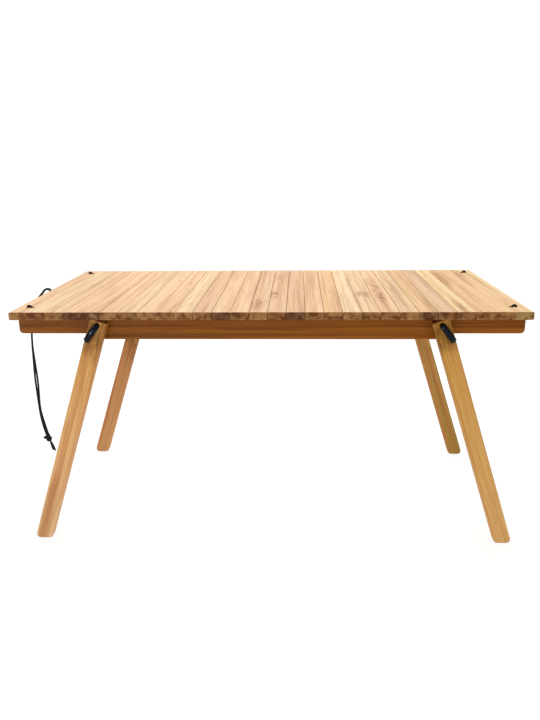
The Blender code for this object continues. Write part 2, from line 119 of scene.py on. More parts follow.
# Legs, their dowels and lashings
LEG_LOW, LEG_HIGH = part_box("back_right_leg")
LEG_BACK_Y, LEG_FACE_Y = LEG_LOW.y, LEG_HIGH.y
LEG_WIDTH = 0.034
LEG_LEAN = math.radians(18.2)
LEG_FOOT_X = 0.489
LEG_TOP_Z = 0.4786
LEG_FOOT_CORNER = 0.009
LEG_TOP_CORNER = 0.0030
LEG_UP = Vector((-math.sin(LEG_LEAN), math.cos(LEG_LEAN)))
LEG_IN = Vector((-math.cos(LEG_LEAN), -math.sin(LEG_LEAN)))
LASHING_HOLE = 0.0053
LASHING_HOLE_Z = 0.4695
LASHING_NOTCH_DOWN = 0.0350
LASHING_NOTCH_INSET = 0.0049
LASHING_TURN = 0.0045
LASHING_IN_RAIL = 0.006
LASHING_IN_LEG = 0.010
DOWEL_RADIUS = 0.0030
DOWEL_LENGTH = 0.0225
DOWEL_IN_RAIL = 0.012
DOWEL_CHAMFER = 0.0007
DOWEL_PLACES = {"upper": (0.014, -0.008), "lower": (0.020, 0.009)}

# Painted shade under the table top, darkening the top of each leg: height of the darkest place and how far it
# reaches up and down, with how far it reaches across and through the leg
LEG_PAINTED_SHADE = {
    "front_left": (0.454, 0.077), "front_right": (0.454, 0.048),
    "back_left": (0.370, 0.160), "back_right": (0.454, 0.050),
}
PAINTED_SHADE_ACROSS, PAINTED_SHADE_THROUGH = 0.060, 0.080

# Binding cord: two strands from the left end slat, knotted together above their free tails. Each keeps to one
# Y, and its route in X and Z is the arch over the slat's edge, which both share, and then its own fall.
CORD_DIAMETER = 0.0044
CORD_SLOT_RADIUS = 0.0026
CORD_SLOT_SLANT = math.radians(55)
CORD_SLOT_Z = 0.4925
CORD_SLOT_OUT, CORD_SLOT_IN = -0.008, 0.022
CORD_Y = {"a": -0.0115, "b": -0.0069}
CORD_ARCH = [
    (-0.4955, 0.4861), (-0.5000, 0.4925), (-0.5029, 0.4966), (-0.5059, 0.4994), (-0.5099, 0.5007),
    (-0.5140, 0.5001), (-0.5175, 0.4979), (-0.5212, 0.4935), (-0.5266, 0.4873), (-0.5331, 0.4799),
    (-0.5396, 0.4700), (-0.5450, 0.4572),
]
CORD_FALL = {
    "a": [
        (-0.5495, 0.4400), (-0.5532, 0.4200), (-0.5572, 0.3960), (-0.5588, 0.3695), (-0.5598, 0.3404),
        (-0.5607, 0.3111), (-0.5611, 0.2890), (-0.5606, 0.2665), (-0.5596, 0.2363), (-0.5583, 0.2059),
        (-0.5570, 0.1905), (-0.5550, 0.1751), (-0.5520, 0.1596), (-0.5491, 0.1477), (-0.5450, 0.1364),
        (-0.5400, 0.1272), (-0.5378, 0.1228), (-0.5352, 0.1168), (-0.5330, 0.1100), (-0.5312, 0.1030),
    ],
    "b": [
        (-0.5500, 0.4400), (-0.5545, 0.4200), (-0.5590, 0.3960), (-0.5605, 0.3682), (-0.5597, 0.3391),
        (-0.5584, 0.3110), (-0.5574, 0.2860), (-0.5574, 0.2649), (-0.5583, 0.2390), (-0.5587, 0.2194),
        (-0.5577, 0.2041), (-0.5554, 0.1887), (-0.5523, 0.1733), (-0.5489, 0.1577), (-0.5468, 0.1475),
        (-0.5446, 0.1364), (-0.5425, 0.1262), (-0.5412, 0.1195), (-0.5400, 0.1130), (-0.5386, 0.1075),
        (-0.5374, 0.1030),
    ],
}
CORD_KNOT_CENTRE = Vector((-0.5468, -0.0092, 0.1370))
CORD_KNOT_TILT = math.radians(-37)
CORD_KNOT_REACH = (0.0026, 0.0042, 0.0029)
CORD_KNOT_STRAND = CORD_DIAMETER * 0.76
CORD_PICK = 0.0032

# Real braid of this size has 16 carriers and a pick of half the length; fewer and longer ones show
BRAID_CARRIERS = 8

# Flecks in the dowels' beech, across and along the grain, drawn at about twice their real size to show
FLECK_WIDTH, FLECK_LENGTH = 0.0008, 0.006

# Rubber: the size of the dull marks that handling leaves, and of the skin's fine unevenness
HANDLING_SIZE = 0.006
SKIN_SIZE = 0.0012

# Marks in the timber: how wide and how long each is along the board, in metres, and its fineness. Pores are
# 0.2 mm wide in the real timber and fibres finer still, so both are drawn coarser, to show at all.
GRAIN = {
    "band": (0.012, 0.90, 3.0),
    "streak": (0.0035, 0.30, 3.0),
    "drift": (0.016, 0.50, 2.0),
    "fibre": (0.0009, 0.050, 2.0),
    "pore": (0.0007, 0.008, 1.0),
    "wander": (0.050, 0.35, 1.0),
    "wave": (0.010, 0.090, 2.0),
    "curl": (0.009, 0.022, 2.0),
    "cloud": (0.009, 0.022, 3.0),
    "patch": (0.013, 0.008, 2.0),
}

# Yearly rings, and how far each thing pulls them aside, in metres
RING_WIDTH = 0.0042
WANDER_REACH = 0.022
WAVE_REACH = 0.0022
KNOT_PULL = 0.016

# Where the boards were cut: the first log of each kind, and how far off the board the pith may lie, in metres
LOGS_PER_SEED = 100
RAIL_LOG, BAR_LOG, LEG_LOG = 900, 950, 970
PITH_ASIDE = 0.014
PITH_ALONG = 30.0
PITH_NEAR, PITH_FAR = 0.012, 0.040

# Stands for a knot, stain or painted shade that a board doesn't have
NOWHERE = Vector((9.0, 9.0, 9.0))

# A face counts as end grain when it turns this far towards the grain, and a slat's side face, in a seam,
# takes a share of the end tone: painted shade in the seams between slats
END_FACING = 0.30
EDGE_FACING = 0.92
SEAM_PAINTED_SHADE = 0.55

# Tones of the slats from left to right: on top, and where the end grain drinks the oil
SLAT_TONES = "PCCPPPCPPCRPPRRRPTCCPCTGYTTY"
END_TONES = "LRMDDLMLMLMDMLRDMMMMMLDMMMMO"
KNOTS = {
    "slat_08": ((-0.226, 0.094), (0.011, 0.036)),
    "slat_09": ((-0.196, 0.060), (0.010, 0.030)),
    "slat_12": ((-0.112, 0.104), (0.012, 0.040)),
    "slat_13": ((-0.078, 0.028), (0.011, 0.026)),
    "slat_26": ((0.378, 0.020), (0.015, 0.060)),
}
SMUDGES = {
    "slat_12": ((-0.122, -0.010), (0.020, 0.090)),
    "slat_14": ((-0.022, -0.180), (0.018, 0.070)),
    "slat_15": ((0.004, -0.080), (0.020, 0.060)),
    "slat_17": ((0.056, -0.020), (0.014, 0.200)),
    "slat_20": ((0.196, -0.074), (0.022, 0.045)),
    "slat_21": ((0.230, -0.020), (0.018, 0.220)),
    "slat_25": ((0.376, -0.205), (0.012, 0.080)),
    "slat_26": ((0.398, 0.110), (0.018, 0.140)),
    "slat_27": ((0.452, 0.120), (0.012, 0.150)),
}

# Camera, as it stood for the photograph
CAMERA_PLACE = Vector((0.0573, -1.5129, 0.7764))
CAMERA_YAW = -0.0422
CAMERA_PITCH = -0.2862
CAMERA_ROLL = -0.0101
CAMERA_FOCAL = 678.86
IMAGE_WIDTH = 540
SENSOR_WIDTH = 36.0

# Studio: how white the camera sees the background, what the lights aim at, the floor's radius and its mottle
WHITE_SEEN = 1.05
LIGHT_AIM = Vector((0.0, 0.0, 0.35))
FLOOR_RADIUS = 9.0
FLOOR_MOTTLE = 0.4


def linear(code):
    """An sRGB hex colour as linear RGBA."""
    channels = [int(code[i:i + 2], 16) / 255 for i in (0, 2, 4)]
    return [c / 12.92 if c <= 0.04045 else ((c + 0.055) / 1.055) ** 2.4 for c in channels] + [1.0]


def colour(name, description, code):
    return bpy.props.FloatVectorProperty(name=name, description=description, subtype="COLOR", size=4,
                                         min=0.0, max=1.0, default=linear(code))


def length(name, description, default):
    return bpy.props.FloatProperty(name=name, description=description, default=default, min=0.0,
                                   unit="LENGTH", precision=4)


class CampingTableTop(bpy.types.PropertyGroup):
    edge_radius: length("Slat edge", "Rounding along the edges of every slat", 0.0018)
    outer_radius: length("End edge", "Rounding along the table's two ends", 0.0034)
    tone_c: colour("Cream", "Palest slats", "FFE1B7")
    tone_p: colour("Peach", "Slats of peach tone", "FCD6AD")
    tone_r: colour("Rose", "Slats of rosy tone", "F2CBA4")
    tone_g: colour("Grey tan", "Slats with a grey cast", "EBC7A1")
    tone_y: colour("Straw", "Slats of straw tone", "FFE2AE")
    tone_t: colour("Golden tan", "Slats of golden tan", "F7D09E")
    heart: colour("Heartwood", "Pinkish heartwood that runs through the slats", "E0A97F")
    end_l: colour("Light end", "End grain that took little oil", "A87A4C")
    end_m: colour("Middle end", "End grain of middle tone", "966A40")
    end_d: colour("Dark end", "End grain that took most oil", "765034")
    end_r: colour("Red end", "End grain of reddish heartwood", "8C5A32")
    end_o: colour("Olive end", "End grain with an olive cast", "A98A56")
    seed: bpy.props.IntProperty(name="Log seed", description="Which part of the log each slat is cut from",
                                default=7)


class CampingTableFrame(bpy.types.PropertyGroup):
    edge_radius: length("Edge", "Rounding along the edges of rails, bars and legs", 0.0016)
    rail_tone: colour("Rail", "Oiled rails and end bars", "88521A")
    # Painted light: the rail runs lighter down to this colour at its lower edge, a painted highlight, and
    # darker up under the top's overhang, painted shade
    rail_foot: colour("Rail's lower edge", "Lighter towards the lower edge", "9B5E1E")
    rail_heart: colour("Rail heartwood", "Darker brown that runs through the rails", "6A3D12")
    front_left_head: colour("Front left leg, top", "Golden", "DEA75B")
    front_left_foot: colour("Front left leg, foot", "Golden with a pink cast", "EBC090")
    front_right_head: colour("Front right leg, top", "Golden", "C99747")
    front_right_foot: colour("Front right leg, foot", "Golden", "DEB06E")
    back_left_head: colour("Back left leg, top", "Reddish brown", "B17C4D")
    back_left_foot: colour("Back left leg, foot", "Lighter reddish brown", "D5A16A")
    back_right_head: colour("Back right leg, top", "Brown with an olive cast", "B8985A")
    back_right_foot: colour("Back right leg, foot", "Darker brown with an olive cast", "A8863E")
    leg_heart: colour("Leg heartwood", "Pinkish brown that runs through the legs", "C88450")
    end_tone: colour("End grain", "End grain of rails, bars and legs", "7A5228")
    dowel_tone: colour("Dowel", "Pale turned dowels", "D9B27C")


class CampingTableCords(bpy.types.PropertyGroup):
    lace_radius: length("Lacing radius", "Radius of the elastic lacing", 0.0024)
    lashing_width: length("Lashing half width", "Half the lashing's width across the leg", 0.0063)
    lashing_neck: length("Lashing half width in its hole", "Half its width where it is squeezed", 0.0049)
    lashing_depth: length("Lashing half depth", "Half the lashing's depth off the leg", 0.0046)
    rubber: colour("Rubber", "Black rubber of the lashings", "050506")
    braid: colour("Braid", "Black polyester of lacing and cord", "121316")


class CampingTableStage(bpy.types.PropertyGroup):
    fill: bpy.props.FloatProperty(name="Fill light", description="Strength of the even light all round",
                                  default=0.75, min=0.0)
    top_power: bpy.props.FloatProperty(name="Top light", description="Soft light from above and behind",
                                       default=35.0, min=0.0, unit="POWER")
    front_power: bpy.props.FloatProperty(name="Front light", description="Soft light from the front left",
                                         default=6.0, min=0.0, unit="POWER")
    highlight_power: bpy.props.FloatProperty(name="Highlight", description="Small light that shows on rubber",
                                             default=24.0, min=0.0, unit="POWER")
    floor: colour("Floor", "Plain pale floor", "989898")
    floor_glow: bpy.props.FloatProperty(name="Floor glow", description="Light of its own that keeps it white",
                                        default=0.76, min=0.0)


def connect(tree, node, links):
    """Sets a node's inputs; links maps each to a value, an output or a node, for its first output."""
    for socket, value in dict(links).items():
        if isinstance(value, bpy.types.Node):
            value = value.outputs[0]
        if isinstance(value, bpy.types.NodeSocket):
            tree.links.new(value, node.inputs[socket])
        else:
            node.inputs[socket].default_value = value


def add(tree, kind, links=(), **settings):
    """Adds a node with its settings and links."""
    node = tree.nodes.new(kind)
    for setting, value in settings.items():
        setattr(node, setting, value)
    connect(tree, node, links)
    return node


def new_material(name):
    """A material with only its output and a Principled shader."""
    material = bpy.data.materials.new(name)
    material.use_nodes = True
    tree = material.node_tree
    return material, tree, tree.nodes["Principled BSDF"]


def teak(name, heart, smudge, curl_reach, ring_share, streak_share, roughness):
    """Plain-sawn teak, sanded and oiled: soft satin, darker late wood rings, heartwood bands and open pores.

    The board attribute says where a point lies in its log, with the pith along Y, so rings that run as long
    streaks on a face show as arcs on the end. The tone attributes hold each board's colours; a rail's lighter
    lower edge is a painted highlight.
    """
    material, tree, shader = new_material(name)
    stored = {}
    for attribute, output in (("board", "Vector"), ("tone", "Color"), ("end_tone", "Color"),
                              ("end_grain", "Fac"), ("from_knot", "Vector"), ("from_smudge", "Vector")):
        stored[attribute] = add(tree, "ShaderNodeAttribute", attribute_name=attribute).outputs[output]
    marks = {}
    for mark, (wide, long, detail) in GRAIN.items():
        scaled = add(tree, "ShaderNodeVectorMath", {0: stored["board"], 1: (1 / wide, 1 / long, 1 / wide)},
                     operation="MULTIPLY")
        marks[mark] = add(tree, "ShaderNodeTexNoise", {"Vector": scaled, "Scale": 1.0, "Detail": detail})
    across = add(tree, "ShaderNodeVectorMath", {0: stored["board"], 1: (1.0, 0.0, 1.0)}, operation="MULTIPLY")
    for mark, place in (("radius", across), ("knot", stored["from_knot"]), ("smudge", stored["from_smudge"])):
        marks[mark] = add(tree, "ShaderNodeVectorMath", {0: place}, operation="LENGTH").outputs["Value"]

    # Each fade: the mark that it reads, where it starts and ends, and how strong it is at most
    fades = {}
    for fade, mark, start, end, most in (
            ("near_knot", "knot", 1.0, 0.15, 1.0),
            ("knot_eye", "knot", 0.42, 0.10, 0.45),
            ("near_smudge", "smudge", 1.1, 0.3, 1.0),
            ("clouds", "cloud", 0.20, 0.60, 1.0),
            ("bands", "band", 0.44, 0.66, streak_share),
            ("streaks", "streak", 0.46, 0.74, streak_share),
            ("drifts", "drift", 0.46, 0.74, 1.0),
            ("fibres", "fibre", 0.40, 0.70, 0.30),
            ("pores", "pore", 0.60, 0.70, 1.0),
            ("dry_patches", "patch", 0.50, 0.36, 1.0),
            ("oily_patches", "patch", 0.54, 0.70, 0.35)):
        fades[fade] = add(tree, "ShaderNodeMapRange", {
            "Value": marks[mark], "From Min": start, "From Max": end, "To Max": most},
            interpolation_type="SMOOTHSTEP")

    # Rings round the pith, pulled aside, of which each year's late wood has a strength of its own
    near_smudge = add(tree, "ShaderNodeMath", {0: fades["near_smudge"], 1: fades["clouds"]},
                      operation="MULTIPLY")
    curl = add(tree, "ShaderNodeMath", {0: near_smudge, 1: curl_reach}, operation="MULTIPLY")
    pulled = marks["radius"]
    for mark, reach in ((marks["wander"], WANDER_REACH), (marks["wave"], WAVE_REACH),
                        (fades["near_knot"], KNOT_PULL), (marks["curl"], curl)):
        pulled = add(tree, "ShaderNodeMath", {0: mark, 1: reach, 2: pulled}, operation="MULTIPLY_ADD")
    years = add(tree, "ShaderNodeMath", {0: pulled, 1: RING_WIDTH}, operation="DIVIDE")
    which = add(tree, "ShaderNodeMath", {0: years}, operation="FLOOR")
    season = add(tree, "ShaderNodeMath", {0: years}, operation="FRACT")
    year = add(tree, "ShaderNodeTexWhiteNoise", {"W": which}, noise_dimensions="1D").outputs["Value"]
    ramp = add(tree, "ShaderNodeValToRGB", {"Fac": season})
    ramp.color_ramp.elements[0].color = (0.0, 0.0, 0.0, 1.0)
    ramp.color_ramp.elements[1].color = (0.05, 0.05, 0.05, 1.0)
    for place, grey in ((0.50, 0.12), (0.80, 1.0), (0.92, 0.55)):
        ramp.color_ramp.elements.new(place).color = (grey, grey, grey, 1.0)
    growth = add(tree, "ShaderNodeMath", {0: year, 1: 0.8, 2: 0.2}, operation="MULTIPLY_ADD")
    late = add(tree, "ShaderNodeMath", {0: ramp, 1: growth}, operation="MULTIPLY")
    showing = add(tree, "ShaderNodeMath", {0: near_smudge, 1: 0.6, 2: ring_share}, operation="MULTIPLY_ADD")
    shares = {}
    for part, base, most in (("rings", late, showing), ("pores", fades["pores"], 0.22),
                             ("smudge", near_smudge, 0.75), ("end_rings", late, 0.70),
                             ("end_years", year, 0.45)):
        shares[part] = add(tree, "ShaderNodeMath", {0: base, 1: most}, operation="MULTIPLY")

    # Layers over the face's tone and over the end grain's: how each is laid, how much shows, and its colour
    for tone, blend, share, layer in (
            ("tone", "MIX", fades["bands"], heart),
            ("tone", "MULTIPLY", fades["drifts"], linear("E6DFDA")),
            ("tone", "MULTIPLY", fades["streaks"], linear("D9C7B4")),
            ("tone", "MULTIPLY", shares["rings"], linear("C4AC98")),
            ("tone", "MULTIPLY", fades["fibres"], linear("E7DBCF")),
            ("tone", "MULTIPLY", shares["pores"], linear("C0A48A")),
            # Stains on the slats; on the legs, painted shade under the table top
            ("tone", "MULTIPLY", shares["smudge"], smudge),
            ("tone", "MULTIPLY", fades["knot_eye"], linear("957762")),
            ("end_tone", "MULTIPLY", shares["end_rings"], linear("A88C6C")),
            ("end_tone", "MULTIPLY", shares["end_years"], linear("C8B49C")),
            ("end_tone", "MULTIPLY", fades["dry_patches"], linear("C4AA90")),
            ("end_tone", "MIX", fades["oily_patches"], linear("C0905C"))):
        stored[tone] = add(tree, "ShaderNodeMix", {0: share, 6: stored[tone], 7: layer}, data_type="RGBA",
                           blend_type=blend).outputs[2]
    # End grain takes the end tone; slats' side faces take a share of it, painted shade in the seams
    both = add(tree, "ShaderNodeMix", {0: stored["end_grain"], 6: stored["tone"], 7: stored["end_tone"]},
               data_type="RGBA")

    # Fibres and pores roughen the wood; pores and late wood lie a little lower
    rough, height = roughness - 0.07, 0.0
    for mark, share in ((fades["pores"], 0.15), (marks["fibre"], 0.14)):
        rough = add(tree, "ShaderNodeMath", {0: mark, 1: share, 2: rough}, operation="MULTIPLY_ADD")
    for mark, share in ((late, -0.2), (fades["pores"], -0.8), (marks["fibre"], 0.6)):
        height = add(tree, "ShaderNodeMath", {0: mark, 1: share, 2: height}, operation="MULTIPLY_ADD")
    bump = add(tree, "ShaderNodeBump", {"Height": height, "Strength": 0.35, "Distance": 0.0003})
    connect(tree, shader, {"Base Color": both.outputs[2], "Roughness": rough, "Normal": bump, "IOR": 1.5,
                           "Specular IOR Level": 0.06})
    return material


def turned_beech(tone):
    """Beech dowel, turned and left dry: pale, close-grained, matt, with fine flecks along its length."""
    material, tree, shader = new_material("turned_beech")
    place = add(tree, "ShaderNodeTexCoord").outputs["Object"]
    scaled = add(tree, "ShaderNodeVectorMath", {
        0: place, 1: (1 / FLECK_WIDTH, 1 / FLECK_LENGTH, 1 / FLECK_WIDTH)}, operation="MULTIPLY")
    flecks = add(tree, "ShaderNodeTexNoise", {"Vector": scaled, "Scale": 1.0, "Detail": 2.0})
    colours = add(tree, "ShaderNodeMix", {0: flecks, 6: tone, 7: linear("B98D58")}, data_type="RGBA")
    bump = add(tree, "ShaderNodeBump", {"Height": flecks, "Strength": 0.3, "Distance": 0.0002})
    connect(tree, shader, {"Base Color": colours.outputs[2], "Roughness": 0.7, "Normal": bump})
    return material


def extruded_rubber(tone):
    """Extruded rubber, drawn tight: glossy black with a long clear highlight, a little dulled by handling."""
    material, tree, shader = new_material("extruded_rubber")
    place = add(tree, "ShaderNodeTexCoord").outputs["Object"]
    handling = add(tree, "ShaderNodeTexNoise", {"Vector": place, "Scale": 1 / HANDLING_SIZE, "Detail": 3.0})
    rough = add(tree, "ShaderNodeMapRange", {"Value": handling, "To Min": 0.12, "To Max": 0.24})
    skin = add(tree, "ShaderNodeTexNoise", {"Vector": place, "Scale": 1 / SKIN_SIZE, "Detail": 2.0})
    bump = add(tree, "ShaderNodeBump", {"Height": skin, "Strength": 0.10, "Distance": 0.0003})
    tinted = add(tree, "ShaderNodeMix", {0: handling, 6: tone, 7: linear("0A0C0F")}, data_type="RGBA")
    connect(tree, shader, {"Base Color": tinted.outputs[2], "Roughness": rough, "Normal": bump, "IOR": 1.45,
                           "Specular IOR Level": 0.22, "Specular Tint": linear("C8DCF0")})
    return material


def braided_polyester(name, tone, carriers, pick):
    """Braided polyester: black filament in a diamond braid, matt between the picks and silky on their crowns.

    UV runs once round the cord in U and in metres along it in V.
    """
    material, tree, shader = new_material(name)
    where = add(tree, "ShaderNodeUVMap", uv_map="UVMap").outputs["UV"]
    split = add(tree, "ShaderNodeSeparateXYZ", {0: where})
    turned = add(tree, "ShaderNodeMath", {0: split.outputs["X"], 1: carriers}, operation="MULTIPLY")
    along = add(tree, "ShaderNodeMath", {0: split.outputs["Y"], 1: 1 / pick}, operation="MULTIPLY")
    waves = []
    for operation in ("ADD", "SUBTRACT"):
        turns = add(tree, "ShaderNodeMath", {0: turned, 1: along}, operation=operation)
        angle = add(tree, "ShaderNodeMath", {0: turns, 1: math.tau}, operation="MULTIPLY")
        waves.append(add(tree, "ShaderNodeMath", {0: angle}, operation="SINE"))
    braid = add(tree, "ShaderNodeMath", dict(enumerate(waves)), operation="MULTIPLY")
    crown = add(tree, "ShaderNodeMapRange", {"Value": braid, "From Min": -1.0, "From Max": 1.0})
    # Darker between the picks and lighter on their crowns: painted shade in the braid's hollows
    shade = add(tree, "ShaderNodeMix", {0: crown, 6: linear("050506"), 7: tone}, data_type="RGBA")
    rough = add(tree, "ShaderNodeMapRange", {"Value": crown, "To Min": 0.85, "To Max": 0.5})
    bump = add(tree, "ShaderNodeBump", {"Height": crown, "Strength": 0.6, "Distance": 0.0004})
    connect(tree, shader, {"Base Color": shade.outputs[2], "Roughness": rough, "Normal": bump,
                           "Specular IOR Level": 0.2, "Sheen Weight": 0.05, "Sheen Roughness": 0.4})
    return material


def matt_floor(tone, glow):
    """Matt paper, lit through from below so that it stays white: even and pale, with only soft shadows."""
    material, tree, shader = new_material("matt_paper")
    place = add(tree, "ShaderNodeTexCoord").outputs["Object"]
    mottle = add(tree, "ShaderNodeTexNoise", {"Vector": place, "Scale": 1 / FLOOR_MOTTLE, "Detail": 2.0})
    shade = add(tree, "ShaderNodeMix", {0: mottle, 6: tone, 7: linear("9C9C9B")}, data_type="RGBA")
    connect(tree, shader, {"Base Color": shade.outputs[2], "Roughness": 0.9,
                           "Emission Color": linear("FFFFFF"), "Emission Strength": glow})
    return material


def new_object(name, mesh):
    obj = bpy.data.objects.new(name, mesh)
    bpy.context.scene.collection.objects.link(obj)
    return obj


def from_shape(name, shape):
    """A new object with the shape of a bmesh, which is freed."""
    mesh = bpy.data.meshes.new(name)
    shape.to_mesh(mesh)
    shape.free()
    return new_object(name, mesh)


def settle(obj):
    """Gives an object the mesh that its modifiers make, and drops the modifiers."""
    bpy.context.view_layer.update()
    graph = bpy.context.evaluated_depsgraph_get()
    mesh = bpy.data.meshes.new_from_object(obj.evaluated_get(graph), preserve_all_data_layers=True,
                                           depsgraph=graph)
    mesh.name = obj.name
    obj.modifiers.clear()
    obj.data = mesh
    return obj


def carve(obj, cutters, material):
    """Cuts the holes, then shades the flats flat and the rounded edges smooth."""
    for cutter in cutters:
        hole = obj.modifiers.new("Hole", "BOOLEAN")
        hole.operation = "DIFFERENCE"
        hole.solver = "EXACT"
        hole.use_self = True
        hole.object = cutter
    settle(obj)
    for cutter in cutters:
        bpy.data.objects.remove(cutter, do_unlink=True)
    obj.data.shade_smooth()
    obj.data.set_sharp_from_angle(angle=SHARP_TURN)
    even = obj.modifiers.new("Flat faces", "WEIGHTED_NORMAL")
    even.keep_sharp = True
    settle(obj)
    obj.data.materials.clear()
    obj.data.materials.append(material)
    return obj


def rod(name, start, end, radius, sides=32, chamfer=0.0):
    """A cylinder between two points, with its ends eased by a chamfer."""
    start, end = Vector(start), Vector(end)
    shape = bmesh.new()
    bmesh.ops.create_cone(shape, cap_ends=True, segments=sides, radius1=radius, radius2=radius,
                          depth=(end - start).length)
    if chamfer:
        rims = [edge for edge in shape.edges if any(len(face.verts) > 4 for face in edge.link_faces)]
        bmesh.ops.bevel(shape, geom=rims, offset=chamfer, segments=2, profile=0.5, affect="EDGES")
    turn = (end - start).to_track_quat("Z", "Y").to_matrix().to_4x4()
    bmesh.ops.transform(shape, matrix=Matrix.Translation((start + end) / 2) @ turn, verts=shape.verts)
    return from_shape(name, shape)


def block(name, low, high):
    """A box between two opposite corners."""
    low, high = Vector(low), Vector(high)
    shape = bmesh.new()
    bmesh.ops.create_cube(shape, size=1.0)
    bmesh.ops.scale(shape, vec=high - low, verts=shape.verts)
    bmesh.ops.translate(shape, vec=(low + high) / 2, verts=shape.verts)
    return from_shape(name, shape)


def rounded_outline(corners, steps=8):
    """Corner points given as (x, z, radius), with each round corner drawn as an arc."""
    points = []
    for i, (x, z, radius) in enumerate(corners):
        here = Vector((x, z))
        if radius == 0:
            points.append(here)
            continue
        before = (Vector(corners[i - 1][:2]) - here).normalized()
        after = (Vector(corners[(i + 1) % len(corners)][:2]) - here).normalized()
        half = before.angle(after) / 2
        centre = here + (before + after).normalized() * radius / math.sin(half)
        first = here + before * radius / math.tan(half) - centre
        last = here + after * radius / math.tan(half) - centre
        sweep = first.angle_signed(last)
        points += [centre + Matrix.Rotation(-sweep * k / steps, 2) @ first for k in range(steps + 1)]
    return points


def board(name, corners, low_y, high_y, edge=0.0):
    """A board cut to an outline in the XZ plane, between two Y values, with its long edges rounded."""
    shape = bmesh.new()
    outline = [shape.verts.new((p.x, low_y, p.y)) for p in rounded_outline(corners)]
    face = shape.faces.new(outline)
    grown = bmesh.ops.extrude_face_region(shape, geom=[face])
    moved = [part for part in grown["geom"] if isinstance(part, bmesh.types.BMVert)]
    bmesh.ops.translate(shape, vec=(0.0, high_y - low_y, 0.0), verts=moved)
    bmesh.ops.recalc_face_normals(shape, faces=shape.faces)
    obj = from_shape(name, shape)
    if edge:
        rounding = obj.modifiers.new("Rounded edges", "BEVEL")
        rounding.width = edge
        rounding.segments = EDGE_STEPS
        rounding.limit_method = "ANGLE"
        rounding.angle_limit = EDGE_TURN
    return obj


def store(mesh, name, kind, domain, values):
    """Writes one named attribute of a mesh, from a flat list of numbers."""
    attribute = mesh.attributes.new(name, kind, domain)
    field = {"FLOAT_VECTOR": "vector", "FLOAT_COLOR": "color", "FLOAT": "value"}[kind]
    attribute.data.foreach_set(field, values)


def on_top(marks, node):
    """A slat's own mark, given as ((x, y), (half width, half length)), with its height and depth added."""
    if node not in marks:
        return None
    (x, y), (wide, long) = marks[node]
    return (x, y, TABLE_TOP), (wide, long, SLAT_THICKNESS)


def lay_grain(obj, to_log, tone, end_tone, foot_tone=None, knot=None, smudge=None, seam_painted_shade=0.0):
    """Says where a board lies in its log, which of its faces are end grain, and what tones it has.

    The tone runs over to the foot tone down the board. A knot, stain or painted shade is (centre, half
    sizes).
    """
    mesh = obj.data
    places = [vertex.co for vertex in mesh.vertices]
    store(mesh, "board", "FLOAT_VECTOR", "POINT", [c for p in places for c in to_log @ p])
    for name, mark in (("from_knot", knot), ("from_smudge", smudge)):
        if mark:
            apart = [[(p[i] - mark[0][i]) / mark[1][i] for i in range(3)] for p in places]
        else:
            apart = [NOWHERE] * len(places)
        store(mesh, name, "FLOAT_VECTOR", "POINT", [c for p in apart for c in p])
    head, foot = Vector(tone), Vector(foot_tone or tone)
    low, high = min(p.z for p in places), max(p.z for p in places)
    store(mesh, "tone", "FLOAT_COLOR", "POINT",
          [c for p in places for c in foot.lerp(head, (p.z - low) / (high - low))])
    store(mesh, "end_tone", "FLOAT_COLOR", "POINT", list(end_tone) * len(places))
    turn = to_log.to_3x3()
    ends = []
    for face in mesh.polygons:
        facing = (turn @ face.normal).normalized()
        if abs(facing.y) > END_FACING:
            ends.append(1.0)
        else:
            # A side face takes a share of the end tone: painted shade in the seams between slats
            ends.append(seam_painted_shade if abs(facing.x) > EDGE_FACING else 0.0)
    store(mesh, "end_grain", "FLOAT", "FACE", ends)


def log_place(seed, along, across, centre):
    """Where a board was cut from its log: along becomes the log's Y, and the pith lies off the board."""
    draw = random.Random(seed)
    along, across = Vector(along).normalized(), Vector(across).normalized()
    turn = Matrix((across, along, across.cross(along))).to_4x4()
    pith = Vector((draw.uniform(-PITH_ASIDE, PITH_ASIDE), draw.uniform(0.0, PITH_ALONG),
                   draw.uniform(PITH_NEAR, PITH_FAR)))
    return Matrix.Translation(pith) @ turn @ Matrix.Translation(-Vector(centre))


def smooth_path(route, spacing, closed=False):
    """Points read off a smooth curve that passes through the route's own points."""
    points = [Vector(p) for p in route]
    if closed:
        points = [points[-1]] + points + points[:2]
    else:
        points = [2 * points[0] - points[1]] + points + [2 * points[-1] - points[-2]]
    dense = []
    for a, b, c, d in zip(points, points[1:], points[2:], points[3:]):
        for k in range(16):
            t = k / 16
            dense.append(0.5 * (2 * b + (c - a) * t + (2 * a - 5 * b + 4 * c - d) * t ** 2
                                + (3 * b - a - 3 * c + d) * t ** 3))
    dense.append(points[-2])
    return evenly(dense, spacing)


def evenly(dense, spacing):
    """Points at an even spacing along a dense path, from its first point to its last."""
    reach = [0.0]
    for p, q in zip(dense, dense[1:]):
        reach.append(reach[-1] + (q - p).length)
    count = max(2, round(reach[-1] / spacing))
    path, at = [], 0
    for k in range(count + 1):
        want = reach[-1] * k / count
        while at < len(reach) - 2 and reach[at + 1] < want:
            at += 1
        share = (want - reach[at]) / (reach[at + 1] - reach[at])
        path.append(dense[at].lerp(dense[at + 1], min(max(share, 0.0), 1.0)))
    return path


def round_ends(path, radius):
    """The path's points with their radii, where the radius falls to nothing at both ends."""
    def end(tip, towards):
        step = (towards - tip).normalized()
        turns = [math.radians(a) for a in (0, 25, 50, 75)]
        return [(tip + step * radius * (1 - math.cos(a)), radius * math.sin(a)) for a in turns]
    middle = [(p, radius) for p in path[1:-1]
              if (p - path[0]).length > radius and (p - path[-1]).length > radius]
    return end(path[0], path[1]) + middle + end(path[-1], path[-2])[::-1]


